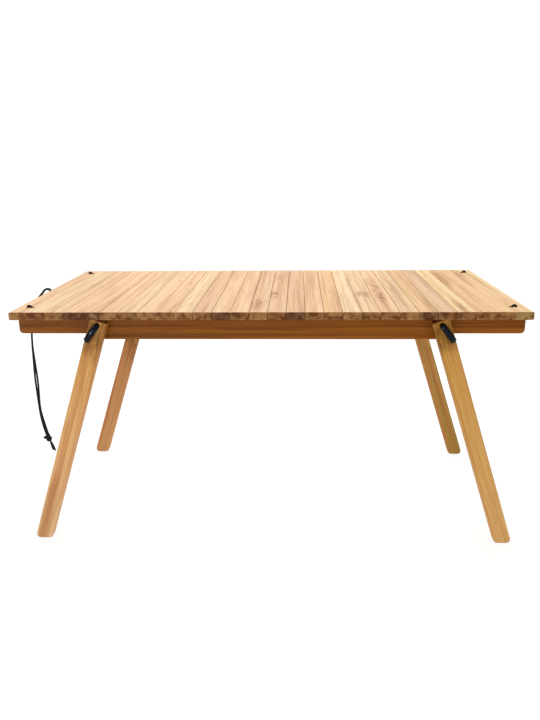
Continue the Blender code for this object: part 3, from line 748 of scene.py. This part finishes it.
def sweep(name, rings, material, sides=16, closed=False, flatten=1.0, side_axis=None):
    """A cord through rings of (point, radius), with U round it and V along it in metres.

    flatten scales its depth, square to side_axis.
    """
    count = len(rings)
    shape = bmesh.new()
    layer = shape.loops.layers.uv.new("UVMap")
    normal, last, run, loops, runs = None, None, 0.0, [], []
    for i, (point, radius) in enumerate(rings):
        after = rings[(i + 1) % count][0] if closed or i < count - 1 else point
        before = rings[i - 1][0] if closed or i > 0 else point
        tangent = (after - before).normalized()
        if side_axis:
            side = Vector(side_axis)
            normal = side.cross(tangent).normalized()
        else:
            if normal is None:
                normal = tangent.orthogonal()
            normal = (normal - tangent * normal.dot(tangent)).normalized()
            side = tangent.cross(normal)
        if last is not None:
            run += (point - last).length
        last = point
        runs.append(run)
        if radius < 1e-6:
            loops.append([shape.verts.new(point)])
            continue
        angles = [math.tau * k / sides for k in range(sides)]
        loops.append([shape.verts.new(point + (side * math.cos(a) + normal * math.sin(a) * flatten) * radius)
                      for a in angles])
    pairs = list(zip(range(count - 1), range(1, count)))
    if closed:
        pairs.append((count - 1, 0))
    for i, j in pairs:
        low, high = runs[i], runs[j] if j else run + (rings[0][0] - last).length
        for k in range(sides):
            m = (k + 1) % sides
            if len(loops[i]) == 1:
                corners = [(loops[i][0], k + 0.5, low), (loops[j][m], k + 1, high), (loops[j][k], k, high)]
            elif len(loops[j]) == 1:
                corners = [(loops[i][k], k, low), (loops[i][m], k + 1, low), (loops[j][0], k + 0.5, high)]
            else:
                corners = [(loops[i][k], k, low), (loops[i][m], k + 1, low), (loops[j][m], k + 1, high),
                           (loops[j][k], k, high)]
            face = shape.faces.new([corner[0] for corner in corners])
            face.smooth = True
            for loop, corner in zip(face.loops, corners):
                loop[layer].uv = (corner[1] / sides, corner[2])
    bmesh.ops.recalc_face_normals(shape, faces=shape.faces)
    cord = from_shape(name, shape)
    cord.data.materials.append(material)
    return cord


def hand_in(obj, body, slot, *nodes):
    """Rides a finished piece on its body, with the CAD nodes that it stands for."""
    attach(obj, body)
    if nodes:
        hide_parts(*nodes)


def node_tree(name, inputs):
    """A Geometry Nodes tree with named inputs, given as (name, socket kind), and a dict of them."""
    tree = bpy.data.node_groups.new(name, "GeometryNodeTree")
    tree.interface.new_socket(name="Geometry", in_out="OUTPUT", socket_type="NodeSocketGeometry")
    for socket, kind in inputs:
        tree.interface.new_socket(name=socket, in_out="INPUT", socket_type=kind)
    outputs = add(tree, "NodeGroupInput").outputs
    return tree, {socket: outputs[socket] for socket, kind in inputs}


def grow(name, tree, values):
    """A new object whose shape a Geometry Nodes tree makes from these values."""
    obj = new_object(name, bpy.data.meshes.new(name))
    modifier = obj.modifiers.new(tree.name, "NODES")
    modifier.node_group = tree
    for item in tree.interface.items_tree:
        if item.in_out == "INPUT":
            modifier[item.identifier] = values[item.name]
    return obj


def slat_row_tree():
    """A row of slats between seams at an even pitch, of which only the slat that a body needs is made."""
    tree, given = node_tree("Slat row", [
        ("Count", "NodeSocketInt"), ("Shown", "NodeSocketInt"), ("First seam", "NodeSocketFloat"),
        ("Pitch", "NodeSocketFloat"), ("Gap", "NodeSocketFloat"), ("Half length", "NodeSocketFloat"),
        ("Depth", "NodeSocketFloat"), ("Thickness", "NodeSocketFloat"), ("Middle height", "NodeSocketFloat"),
        ("Edge share", "NodeSocketFloat"), ("Material", "NodeSocketMaterial"),
    ])
    given["Index"] = add(tree, "GeometryNodeInputIndex")
    split = add(tree, "ShaderNodeSeparateXYZ", {0: add(tree, "GeometryNodeInputPosition")})
    given["X"], given["Y"] = split.outputs["X"], split.outputs["Y"]
    for name, operation, *terms in (
            # Where each slat starts and stops
            ("Seam", "MULTIPLY_ADD", "Index", "Pitch", "First seam"),
            ("Seam before", "SUBTRACT", "Seam", "Pitch"),
            ("Half gap", "MULTIPLY", "Gap", 0.5),
            ("Slat's stop", "SUBTRACT", "Seam", "Half gap"),
            ("Right", "MINIMUM", "Slat's stop", "Half length"),
            ("Slat's start", "ADD", "Seam before", "Half gap"),
            ("Left end", "MULTIPLY", "Half length", -1.0),
            ("Left", "MAXIMUM", "Slat's start", "Left end"),
            ("Width", "SUBTRACT", "Right", "Left"),
            ("Sum", "ADD", "Left", "Right"),
            ("Centre", "MULTIPLY", "Sum", 0.5),
            # Edges along the table's two ends are rounded in full, the rest by their share
            ("From middle", "ABSOLUTE", "X"),
            ("Past end", "SUBTRACT", "From middle", "Half length"),
            ("At end", "GREATER_THAN", "Past end", -0.00001),
            ("Off centre line", "ABSOLUTE", "Y"),
            ("Runs across", "LESS_THAN", "Off centre line", 0.00001),
            ("End edge", "MULTIPLY", "At end", "Runs across"),
            ("Rest of share", "SUBTRACT", 1.0, "Edge share"),
            ("More", "MULTIPLY", "End edge", "Rest of share"),
            ("Edge weight", "ADD", "More", "Edge share")):
        terms = [given[term] if isinstance(term, str) else term for term in terms]
        given[name] = add(tree, "ShaderNodeMath", dict(enumerate(terms)), operation=operation)
    place = add(tree, "ShaderNodeCombineXYZ", {"X": given["Centre"], "Z": given["Middle height"]})
    size = add(tree, "ShaderNodeCombineXYZ", {"X": given["Width"], "Y": given["Depth"],
                                              "Z": given["Thickness"]})
    line = add(tree, "GeometryNodeMeshLine", {"Count": given["Count"], "Offset": (0.0, 0.0, 0.0)})
    points = add(tree, "GeometryNodeSetPosition", {"Geometry": line, "Position": place})
    wanted = add(tree, "FunctionNodeCompare", {2: given["Index"], 3: given["Shown"]}, data_type="INT",
                 operation="EQUAL")
    blank = add(tree, "GeometryNodeMeshCube", {"Size": (1.0, 1.0, 1.0)})
    row = add(tree, "GeometryNodeInstanceOnPoints", {"Points": points, "Selection": wanted, "Instance": blank,
                                                     "Scale": size})
    real = add(tree, "GeometryNodeRealizeInstances", {"Geometry": row})
    weighed = add(tree, "GeometryNodeStoreNamedAttribute", {
        "Geometry": real, "Name": "bevel_weight_edge", "Value": given["Edge weight"]},
        data_type="FLOAT", domain="EDGE")
    dressed = add(tree, "GeometryNodeSetMaterial", {"Geometry": weighed, "Material": given["Material"]})
    add(tree, "NodeGroupOutput", {"Geometry": dressed})
    return tree


def seam_lace_tree():
    """Two short runs of lacing, front and back, across one seam."""
    tree, given = node_tree("Lacing across a seam", [
        ("Seam", "NodeSocketFloat"), ("Reach", "NodeSocketFloat"), ("Lacing Y", "NodeSocketFloat"),
        ("Height", "NodeSocketFloat"), ("Radius", "NodeSocketFloat"), ("Material", "NodeSocketMaterial"),
    ])
    for name, operation, *terms in (
            ("Start", "SUBTRACT", "Seam", "Reach"), ("End", "ADD", "Seam", "Reach"),
            ("Front", "MULTIPLY", "Lacing Y", -1.0), ("Apart", "MULTIPLY", "Lacing Y", 2.0)):
        terms = [given[term] if isinstance(term, str) else term for term in terms]
        given[name] = add(tree, "ShaderNodeMath", dict(enumerate(terms)), operation=operation)
    start = add(tree, "ShaderNodeCombineXYZ", {"X": given["Start"], "Z": given["Height"]})
    end = add(tree, "ShaderNodeCombineXYZ", {"X": given["End"], "Z": given["Height"]})
    line = add(tree, "GeometryNodeCurvePrimitiveLine", {"Start": start, "End": end})
    fine = add(tree, "GeometryNodeResampleCurve", {"Curve": line, "Count": 12})
    section = add(tree, "GeometryNodeCurvePrimitiveCircle", {"Resolution": 14, "Radius": given["Radius"]})
    run = add(tree, "GeometryNodeCurveToMesh", {"Curve": fine, "Profile Curve": section, "Fill Caps": True})
    smooth = add(tree, "GeometryNodeSetShadeSmooth", {"Geometry": run})
    front = add(tree, "ShaderNodeCombineXYZ", {"Y": given["Front"]})
    apart = add(tree, "ShaderNodeCombineXYZ", {"Y": given["Apart"]})
    sides = add(tree, "GeometryNodeMeshLine", {"Count": 2, "Start Location": front, "Offset": apart})
    both = add(tree, "GeometryNodeInstanceOnPoints", {"Points": sides, "Instance": smooth})
    real = add(tree, "GeometryNodeRealizeInstances", {"Geometry": both})
    dressed = add(tree, "GeometryNodeSetMaterial", {"Geometry": real, "Material": given["Material"]})
    add(tree, "NodeGroupOutput", {"Geometry": dressed})
    return tree


def end_slat_cutters(side):
    """An eye and a slot for each lacing, near the two corners of an end slat."""
    cutters = []
    for end in (-1, 1):
        y = end * LACE_Y
        cutters.append(rod("eye", (side * LACE_EYE_X, y, TOP_LOW.z - CUT_PAST),
                           (side * LACE_EYE_X, y, TABLE_TOP + CUT_PAST), LACE_BORE))
        low, high = sorted((side * LACE_SLOT_X, side * (TABLE_HALF_LENGTH - LACE_SLOT_INSET)))
        cutters.append(block("slot", (low, y - LACE_BORE, TABLE_TOP - LACE_SLOT_DEPTH),
                             (high, y + LACE_BORE, TABLE_TOP + CUT_PAST)))
    return cutters


def cord_slot_cutter():
    """A slanted slot for both strands, from the left end face to the underside."""
    first, last = CORD_Y["a"], CORD_Y["b"]
    half, deep = (last - first) / 2 + CORD_SLOT_RADIUS, CORD_SLOT_RADIUS
    radius = CORD_SLOT_RADIUS * 0.999
    corners = [(-half, -deep, radius), (half, -deep, radius), (half, deep, radius), (-half, deep, radius)]
    slot = board("slot", corners, CORD_SLOT_OUT, CORD_SLOT_IN)
    across = Vector((0.0, 1.0, 0.0))
    along = Vector((math.cos(CORD_SLOT_SLANT), 0.0, -math.sin(CORD_SLOT_SLANT)))
    turn = Matrix((across, along, across.cross(along))).transposed().to_4x4()
    slot.data.transform(Matrix.Translation((-TABLE_HALF_LENGTH, (first + last) / 2, CORD_SLOT_Z)) @ turn)
    return slot


def leg_point(side, down, inward):
    """A point on a leg, measured from its lashing hole down the leg and towards the table's middle."""
    hole = Vector((LEG_FOOT_X - LASHING_HOLE_Z * math.tan(LEG_LEAN), LASHING_HOLE_Z))
    at = hole - LEG_UP * down + LEG_IN * inward
    return side * at.x, at.y


def leg_seat_cutters(side, low_y, high_y, open_y, bottom_y):
    """A leg's lashing hole, right through a board, and its two dowel sockets, from one side of the board."""
    x, z = leg_point(side, 0.0, 0.0)
    cutters = [rod("lashing_hole", (x, low_y - 2 * CUT_PAST, z), (x, high_y + 2 * CUT_PAST, z), LASHING_HOLE)]
    for down, inward in DOWEL_PLACES.values():
        x, z = leg_point(side, down, inward)
        cutters.append(rod("socket", (x, open_y, z), (x, bottom_y, z), DOWEL_RADIUS + FIT_GAP))
    return cutters


class CAMPING_TABLE_OT_stage(bpy.types.Operator):
    """Adds the plain floor, the soft lights and the camera"""
    bl_idname = "camping_table.stage"
    bl_label = "Stage"

    def execute(self, context):
        settings = context.scene.camping_table_stage
        shape = bmesh.new()
        bmesh.ops.create_circle(shape, cap_ends=True, segments=96, radius=FLOOR_RADIUS)
        floor = from_shape("floor", shape)
        floor.data.materials.append(matt_floor(settings.floor, settings.floor_glow))
        self.light(context, settings)
        self.camera(context)
        return {"FINISHED"}

    def light(self, context, settings):
        """White all round, which the camera sees at full white, with soft lights and one small highlight."""
        world = bpy.data.worlds.new("studio")
        world.use_nodes = True
        tree = world.node_tree
        seen = add(tree, "ShaderNodeLightPath").outputs["Is Camera Ray"]
        strength = add(tree, "ShaderNodeMapRange", {"Value": seen, "To Min": settings.fill,
                                                    "To Max": WHITE_SEEN})
        connect(tree, tree.nodes["Background"], {"Color": linear("FFFFFF"), "Strength": strength})
        context.scene.world = world
        context.scene.view_settings.view_transform = "Standard"
        for name, place, size, energy in (("top_light", (-0.1, 1.6, 2.6), 2.4, settings.top_power),
                                          ("front_light", (-1.3, -2.2, 2.0), 1.2, settings.front_power),
                                          ("highlight", (-1.2, -2.2, 0.30), 0.35, settings.highlight_power)):
            lamp = bpy.data.lights.new(name, "AREA")
            lamp.shape = "DISK"
            lamp.size = size
            lamp.energy = energy
            obj = new_object(name, lamp)
            obj.visible_diffuse = name != "highlight"
            obj.location = place
            obj.rotation_euler = (LIGHT_AIM - Vector(place)).to_track_quat("-Z", "Y").to_euler()

    def camera(self, context):
        yaw, pitch = CAMERA_YAW, CAMERA_PITCH
        forward = Vector((math.sin(yaw) * math.cos(pitch), math.cos(yaw) * math.cos(pitch), math.sin(pitch)))
        right = Vector((math.cos(yaw), -math.sin(yaw), 0.0))
        up = right.cross(forward)
        rolled_right = math.cos(CAMERA_ROLL) * right + math.sin(CAMERA_ROLL) * up
        rolled_up = math.cos(CAMERA_ROLL) * up - math.sin(CAMERA_ROLL) * right
        data = bpy.data.cameras.new("camera")
        data.sensor_fit = "HORIZONTAL"
        data.sensor_width = SENSOR_WIDTH
        data.lens = SENSOR_WIDTH * CAMERA_FOCAL / IMAGE_WIDTH
        data.clip_start, data.clip_end = 0.05, 60.0
        camera = new_object("camera", data)
        turn = Matrix((rolled_right, rolled_up, -forward)).transposed().to_4x4()
        camera.matrix_world = Matrix.Translation(CAMERA_PLACE) @ turn
        context.scene.camera = camera


class CAMPING_TABLE_OT_binding_cord(bpy.types.Operator):
    """Adds the cord that ties up the rolled top, hanging from the left end slat"""
    bl_idname = "camping_table.binding_cord"
    bl_label = "Binding cord"

    def execute(self, context):
        settings = context.scene.camping_table_cords
        braid = braided_polyester("braided_polyester_cord", settings.braid, BRAID_CARRIERS, CORD_PICK)
        knot = self.knot(braid)
        hand_in(knot, "root", "binding_cord", "binding_knot")
        for letter, y in CORD_Y.items():
            route = [(x, y, z) for x, z in CORD_ARCH + CORD_FALL[letter]]
            path = smooth_path(route, spacing=0.002)
            cord = sweep(f"binding_cord_{letter}", round_ends(path, CORD_DIAMETER / 2), braid)
            hand_in(cord, "root", "binding_cord", f"binding_strand_{letter}", f"binding_tail_{letter}")
        return {"FINISHED"}

    def knot(self, braid):
        """An overhand knot, drawn as the closed trefoil that its crossings make, and leant by its strands."""
        lean = Matrix.Rotation(CORD_KNOT_TILT, 3, "Y")
        aside, deep, high = CORD_KNOT_REACH
        points = []
        for k in range(72):
            t = math.tau * k / 72
            place = Vector((aside * (math.sin(t) + 1.5 * math.sin(2 * t)), -deep * math.sin(3 * t),
                            high * (math.cos(t) - 1.5 * math.cos(2 * t))))
            points.append(CORD_KNOT_CENTRE + lean @ place)
        return sweep("binding_cord_knot", [(p, CORD_KNOT_STRAND) for p in points], braid, closed=True)


class CAMPING_TABLE_OT_slats(bpy.types.Operator):
    """Adds the slats of the roll-up top, one for each body"""
    bl_idname = "camping_table.slats"
    bl_label = "Slats"

    def execute(self, context):
        settings = context.scene.camping_table_top
        wood = teak("oiled_teak_top", settings.heart, linear("D8CCC4"), curl_reach=0.006, ring_share=0.34,
                    streak_share=0.46, roughness=0.5)
        tree = slat_row_tree()
        for index, node in enumerate(SLATS):
            slat = grow(f"top_{node}", tree, {
                "Count": len(SLATS), "Shown": index, "First seam": SEAMS[0], "Pitch": SLAT_PITCH,
                "Gap": SEAM_GAP, "Half length": TABLE_HALF_LENGTH, "Depth": TABLE_DEPTH,
                "Thickness": SLAT_THICKNESS, "Middle height": SLAT_MIDDLE,
                "Edge share": settings.edge_radius / settings.outer_radius, "Material": wood})
            rounding = slat.modifiers.new("Rounded edges", "BEVEL")
            rounding.limit_method = "WEIGHT"
            rounding.width = settings.outer_radius
            rounding.segments = EDGE_STEPS
            if 0 < index < len(SLATS) - 1:
                cutters = [rod("bore", (SEAMS[index - 1] - CUT_PAST, side * LACE_Y, SLAT_MIDDLE),
                               (SEAMS[index] + CUT_PAST, side * LACE_Y, SLAT_MIDDLE), LACE_BORE)
                           for side in (-1, 1)]
            else:
                cutters = end_slat_cutters(1 if index else -1)
            if index == 0:
                cutters.append(cord_slot_cutter())
            carve(slat, cutters, wood)
            low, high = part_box(node)
            log = settings.seed * LOGS_PER_SEED + index
            lay_grain(slat, log_place(log, (0, 1, 0), (1, 0, 0), (low + high) / 2),
                      getattr(settings, "tone_" + SLAT_TONES[index].lower()),
                      getattr(settings, "end_" + END_TONES[index].lower()),
                      knot=on_top(KNOTS, node), smudge=on_top(SMUDGES, node), seam_painted_shade=SEAM_PAINTED_SHADE)
            hand_in(slat, BODY_OF[node], "slat_wood", node)
        return {"FINISHED"}


class CAMPING_TABLE_OT_rails(bpy.types.Operator):
    """Adds the two stepped rails and the end bars housed between them"""
    bl_idname = "camping_table.rails"
    bl_label = "Rails and end bars"

    def execute(self, context):
        settings = context.scene.camping_table_frame
        wood = teak("oiled_teak_rail", settings.rail_heart, linear("FFFFFF"), curl_reach=0.0, ring_share=0.45,
                    streak_share=0.75, roughness=0.5)
        for seed, (row, face) in enumerate((("front", -1), ("back", 1))):
            self.rail(f"{row}_rail", face, seed, settings, wood)
        for seed, (hand, side) in enumerate((("left", -1), ("right", 1))):
            self.bar(f"{hand}_end_bar", side, seed, settings, wood)
        return {"FINISHED"}

    def outline(self):
        end, low, high = RAIL_HALF_LENGTH, RAIL_LOW.z, RAIL_TOP - RAIL_END_DEPTH
        lean = (high - low) * math.tan(LEG_LEAN)
        return [
            (-end, RAIL_TOP, 0), (-end, high, RAIL_CORNER), (-RAIL_STEP_X - lean, high, RAIL_STEP_CORNER),
            (-RAIL_STEP_X, low, RAIL_STEP_CORNER), (RAIL_STEP_X, low, RAIL_STEP_CORNER),
            (RAIL_STEP_X + lean, high, RAIL_STEP_CORNER), (end, high, RAIL_CORNER), (end, RAIL_TOP, 0),
        ]

    def rail(self, node, face, seed, settings, wood):
        low_y, high_y = sorted((face * RAIL_FACE_Y, face * RAIL_BACK_Y))
        rail = board(f"finished_{node}", self.outline(), low_y, high_y, settings.edge_radius)
        cutters = []
        for side in (-1, 1):
            cutters += leg_seat_cutters(side, low_y, high_y, face * (RAIL_FACE_Y + 2 * CUT_PAST),
                                        face * (RAIL_FACE_Y - DOWEL_IN_RAIL - FIT_GAP))
            cutters.append(rod("pocket", (side * LACE_EYE_X, face * LACE_Y, RAIL_TOP + CUT_PAST),
                               (side * LACE_EYE_X, face * LACE_Y, RAIL_TOP - KNOT_POCKET_DEPTH),
                               KNOT_POCKET_RADIUS))
            half = (BAR_HIGH.x - BAR_LOW.x) / 2 + FIT_GAP
            y_low, y_high = sorted((face * (RAIL_BACK_Y - 2 * CUT_PAST), face * (BAR_HIGH.y + FIT_GAP)))
            cutters.append(block("housing", (side * BAR_CENTRE_X - half, y_low, BAR_LOW.z - FIT_GAP),
                                 (side * BAR_CENTRE_X + half, y_high, RAIL_TOP + CUT_PAST)))
        carve(rail, cutters, wood)
        centre = (0.0, face * (RAIL_FACE_Y + RAIL_BACK_Y) / 2, (RAIL_TOP + RAIL_LOW.z) / 2)
        # Lighter towards the lower edge: a painted highlight there, with painted shade up under the top's
        # overhang
        lay_grain(rail, log_place(RAIL_LOG + seed, (1, 0, 0), (0, 0, 1), centre), settings.rail_tone,
                  settings.end_tone, settings.rail_foot)
        hand_in(rail, "root", "rail_wood", node)

    def bar(self, node, side, seed, settings, wood):
        low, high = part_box(node)
        corners = [(low.x, high.z, 0), (low.x, low.z, 0), (high.x, low.z, 0), (high.x, high.z, 0)]
        bar = board(f"finished_{node}", corners, low.y, high.y, settings.edge_radius * BAR_EDGE_SHARE)
        carve(bar, [], wood)
        lay_grain(bar, log_place(BAR_LOG + seed, (0, 1, 0), (0, 0, 1), (low + high) / 2), settings.rail_tone,
                  settings.end_tone)
        hand_in(bar, "root", "rail_wood", node)


class CAMPING_TABLE_OT_legs(bpy.types.Operator):
    """Adds the four legs and the dowels that locate them on the rails"""
    bl_idname = "camping_table.legs"
    bl_label = "Legs and dowels"

    def execute(self, context):
        settings = context.scene.camping_table_frame
        # The third colour darkens each leg near its top: painted shade under the table top
        wood = teak("oiled_teak_leg", settings.leg_heart, linear("A89E78"), curl_reach=0.0, ring_share=0.45,
                    streak_share=0.60, roughness=0.48)
        beech = turned_beech(settings.dowel_tone)
        for seed, corner in enumerate(("front_left", "front_right", "back_left", "back_right")):
            face = -1 if corner.startswith("front") else 1
            side = -1 if corner.endswith("left") else 1
            self.leg(corner, side, face, seed, settings, wood)
            for place, (down, inward) in DOWEL_PLACES.items():
                x, z = leg_point(side, down, inward)
                start = face * (RAIL_FACE_Y - DOWEL_IN_RAIL)
                node = f"{corner}_{place}_dowel"
                dowel = rod(f"turned_{node}", (x, start, z), (x, start + face * DOWEL_LENGTH, z),
                            DOWEL_RADIUS, chamfer=DOWEL_CHAMFER)
                carve(dowel, [], beech)
                hand_in(dowel, "root", "dowel_wood", node)
        return {"FINISHED"}

    def outline(self, side):
        """Foot cut level with the ground, top cut square to the leg."""
        across = LEG_WIDTH / 2 / math.cos(LEG_LEAN)
        top = Vector((LEG_FOOT_X - LEG_TOP_Z * math.tan(LEG_LEAN), LEG_TOP_Z))
        outer, inner = top - LEG_IN * LEG_WIDTH / 2, top + LEG_IN * LEG_WIDTH / 2
        corners = [
            (LEG_FOOT_X + across, 0.0, LEG_FOOT_CORNER), (outer.x, outer.y, LEG_TOP_CORNER),
            (inner.x, inner.y, LEG_TOP_CORNER), (LEG_FOOT_X - across, 0.0, LEG_FOOT_CORNER),
        ]
        return corners if side > 0 else [(-x, z, radius) for x, z, radius in reversed(corners)]

    def notch(self, side, low_y, high_y):
        """A slot with a round bottom, open to the leg's outer edge."""
        inner = Vector(leg_point(side, LASHING_NOTCH_DOWN, -LEG_WIDTH / 2 + LASHING_NOTCH_INSET))
        outer = Vector(leg_point(side, LASHING_NOTCH_DOWN, -LEG_WIDTH / 2 - LASHING_HOLE * 2))
        along = (outer - inner).normalized()
        across = Vector((-along.y, along.x)) * LASHING_HOLE
        bottom = [inner + across * math.cos(a) - along * LASHING_HOLE * math.sin(a)
                  for a in (math.radians(d) for d in range(15, 180, 15))]
        corners = [inner - across, outer - across, outer + across, inner + across, *bottom]
        return board("notch", [(p.x, p.y, 0) for p in corners], low_y - 2 * CUT_PAST, high_y + 2 * CUT_PAST)

    def leg(self, corner, side, face, seed, settings, wood):
        node = f"{corner}_leg"
        low_y, high_y = sorted((face * LEG_BACK_Y, face * LEG_FACE_Y))
        leg = board(f"finished_{node}", self.outline(side), low_y, high_y, settings.edge_radius)
        bottom = face * (LEG_BACK_Y + DOWEL_LENGTH - DOWEL_IN_RAIL + FIT_GAP)
        hole, *sockets = leg_seat_cutters(side, low_y, high_y, face * (LEG_BACK_Y - 2 * CUT_PAST), bottom)
        carve(leg, [hole, self.notch(side, low_y, high_y), *sockets], wood)
        along = (side * LEG_UP.x, 0.0, LEG_UP.y)
        half_up = LEG_TOP_Z / 2
        centre = (side * (LEG_FOOT_X - half_up * math.tan(LEG_LEAN)), (low_y + high_y) / 2, half_up)
        # Painted shade under the table top: its height on the leg, and how far it reaches
        z, reach = LEG_PAINTED_SHADE[corner]
        x = side * (LEG_FOOT_X - z * math.tan(LEG_LEAN))
        lay_grain(leg, log_place(LEG_LOG + seed, along, (along[2], 0.0, -along[0]), centre),
                  getattr(settings, f"{corner}_head"), settings.end_tone, getattr(settings, f"{corner}_foot"),
                  smudge=((x, face * LEG_FACE_Y, z), (PAINTED_SHADE_ACROSS, PAINTED_SHADE_THROUGH, reach)))
        hand_in(leg, BODY_OF[node], "leg_wood", node)


class CAMPING_TABLE_OT_lashings(bpy.types.Operator):
    """Adds the rubber loops that pull the legs onto the rails"""
    bl_idname = "camping_table.lashings"
    bl_label = "Lashings"

    def execute(self, context):
        settings = context.scene.camping_table_cords
        rubber = extruded_rubber(settings.rubber)
        for row, face in (("front", -1), ("back", 1)):
            for hand, side in (("left", -1), ("right", 1)):
                self.lashing(f"{row}_{hand}", side, face, settings, rubber)
        return {"FINISHED"}

    def lashing(self, corner, side, face, settings, rubber):
        """Through the leg and rail, over the leg's face, round its notch and up behind the rail."""
        top = Vector(leg_point(side, 0.0, 0.0))
        low = Vector(leg_point(side, LASHING_NOTCH_DOWN, -LEG_WIDTH / 2 + LASHING_NOTCH_INSET))
        depth = settings.lashing_depth
        front = LEG_FACE_Y + depth + 2 * FIT_GAP
        back = RAIL_BACK_Y - depth - 2 * FIT_GAP
        rail_front, leg_back = RAIL_FACE_Y - LASHING_IN_RAIL, LEG_BACK_Y + LASHING_IN_LEG

        def at(share, y):
            place = top.lerp(low, share)
            return place.x, face * y, place.y

        route = [
            at(0.0, back + LASHING_TURN), at(0.0, rail_front), at(0.0, leg_back),
            at(0.0, front - LASHING_TURN), at(0.08, front - 0.0004), at(0.35, front + 0.0014),
            at(0.65, front + 0.0014), at(0.92, front - 0.0004), at(1.0, front - LASHING_TURN),
            at(1.0, leg_back), at(1.0, rail_front),
            at(1.0, back + LASHING_TURN), at(0.90, back + 0.0003), at(0.65, back - 0.0008),
            at(0.35, back - 0.0008), at(0.10, back + 0.0003),
        ]
        path = smooth_path(route, spacing=0.0018, closed=True)[:-1]
        across = (low - top).normalized()
        side_axis = Vector((-across.y, 0.0, across.x))
        rings = []
        for p in path:
            out = max(face * p.y - LEG_FACE_Y, RAIL_BACK_Y - face * p.y) / depth
            bulge = min(max(out + 0.2, 0.0), 1.0)
            neck, width = settings.lashing_neck, settings.lashing_width
            rings.append((p, neck + (width - neck) * bulge))
        lashing = sweep(f"tight_{corner}_lashing", rings, rubber, sides=24, closed=True,
                        flatten=depth / settings.lashing_width, side_axis=side_axis)
        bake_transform(lashing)
        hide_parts(f"{corner}_lashing")


class CAMPING_TABLE_OT_lacing(bpy.types.Operator):
    """Adds the elastic lacing: the stitches at the four corners and a run across every seam"""
    bl_idname = "camping_table.lacing"
    bl_label = "Lacing"

    def execute(self, context):
        settings = context.scene.camping_table_cords
        elastic = braided_polyester("braided_elastic", settings.braid, BRAID_CARRIERS, LACE_PICK)
        for row, face in (("front", -1), ("back", 1)):
            for hand, side, node in (("left", -1, SLATS[0]), ("right", 1, SLATS[-1])):
                stitch = self.stitch(f"{row}_{hand}_stitch", side, face * LACE_Y, settings, elastic)
                stands_for = [f"{row}_lacing_cord"] if side < 0 else []
                hand_in(stitch, BODY_OF[node], "lacing_elastic", *stands_for)
                knot = self.stopper(f"{row}_{hand}_stopper_knot", side, face * LACE_Y, elastic)
                hand_in(knot, BODY_OF[node], "lacing_elastic")
        tree = seam_lace_tree()
        for index, seam in enumerate(SEAMS):
            run = settle(grow(f"lacing_across_seam_{index + 1:02d}", tree, {
                "Seam": seam, "Reach": LACE_REACH, "Lacing Y": LACE_Y, "Height": SLAT_MIDDLE,
                "Radius": settings.lace_radius, "Material": elastic}))
            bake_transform(run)
        return {"FINISHED"}

    def stitch(self, name, side, y, settings, elastic):
        """Up through the eye, over the top in a low hump, down the slot and along to the first seam."""
        eye = LACE_EYE_X
        route = [
            (eye, RAIL_TOP - 0.0040), (eye, TABLE_TOP - 0.0075), (eye, TABLE_TOP - 0.0028),
            (eye - 0.0010, TABLE_TOP + 0.0016), (eye - 0.0045, TABLE_TOP + 0.0031),
            (eye - 0.0095, TABLE_TOP - 0.0004), (eye - 0.0118, TABLE_TOP - 0.0045),
            (eye - 0.0142, SLAT_MIDDLE), (-SEAMS[0], SLAT_MIDDLE),
        ]
        path = smooth_path([(side * x, y, z) for x, z in route], spacing=0.0008)
        return sweep(name, [(p, settings.lace_radius) for p in path], elastic)

    def stopper(self, name, side, y, elastic):
        """A small knot under the eye, in its pocket in the rail."""
        centre = Vector((side * LACE_EYE_X, y, RAIL_TOP - STOPPER_DROP))
        aside, across, high = STOPPER_REACH
        points = []
        for k in range(48):
            t = math.tau * k / 48
            points.append(centre + Vector(((math.sin(t) + 2 * math.sin(2 * t)) * aside,
                                           (math.cos(t) - 2 * math.cos(2 * t)) * across,
                                           math.sin(3 * t) * high)))
        return sweep(name, [(p, STOPPER_STRAND) for p in points], elastic, sides=10, closed=True)


class CAMPING_TABLE_PT_parts(bpy.types.Panel):
    """Lists the table's pieces"""
    bl_label = "Camping Table"
    bl_idname = "CAMPING_TABLE_PT_parts"
    bl_space_type = "VIEW_3D"
    bl_region_type = "UI"
    bl_category = "Camping Table"

    def draw(self, context):
        for operator in OPERATORS:
            self.layout.operator(operator.bl_idname)
        for group in GROUPS:
            box = self.layout.box()
            for setting in GROUPS[group].__annotations__:
                box.prop(getattr(context.scene, group), setting)


GROUPS = {"camping_table_top": CampingTableTop, "camping_table_frame": CampingTableFrame,
          "camping_table_cords": CampingTableCords, "camping_table_stage": CampingTableStage}
OPERATORS = (CAMPING_TABLE_OT_stage, CAMPING_TABLE_OT_binding_cord, CAMPING_TABLE_OT_slats,
             CAMPING_TABLE_OT_rails, CAMPING_TABLE_OT_legs, CAMPING_TABLE_OT_lashings,
             CAMPING_TABLE_OT_lacing)


def register():
    for kind in (*GROUPS.values(), *OPERATORS, CAMPING_TABLE_PT_parts):
        bpy.utils.register_class(kind)
    for name, kind in GROUPS.items():
        setattr(bpy.types.Scene, name, bpy.props.PointerProperty(type=kind))


def unregister():
    for name in GROUPS:
        delattr(bpy.types.Scene, name)
    for kind in (CAMPING_TABLE_PT_parts, *reversed(OPERATORS), *reversed(GROUPS.values())):
        bpy.utils.unregister_class(kind)


def main():
    register()
    bpy.ops.camping_table.stage()
    bpy.ops.camping_table.binding_cord()
    bpy.ops.camping_table.slats()
    bpy.ops.camping_table.rails()
    bpy.ops.camping_table.legs()
    bpy.ops.camping_table.lashings()
    bpy.ops.camping_table.lacing()
    bpy.context.view_layer.update()


if __name__ == "__main__":
    main()
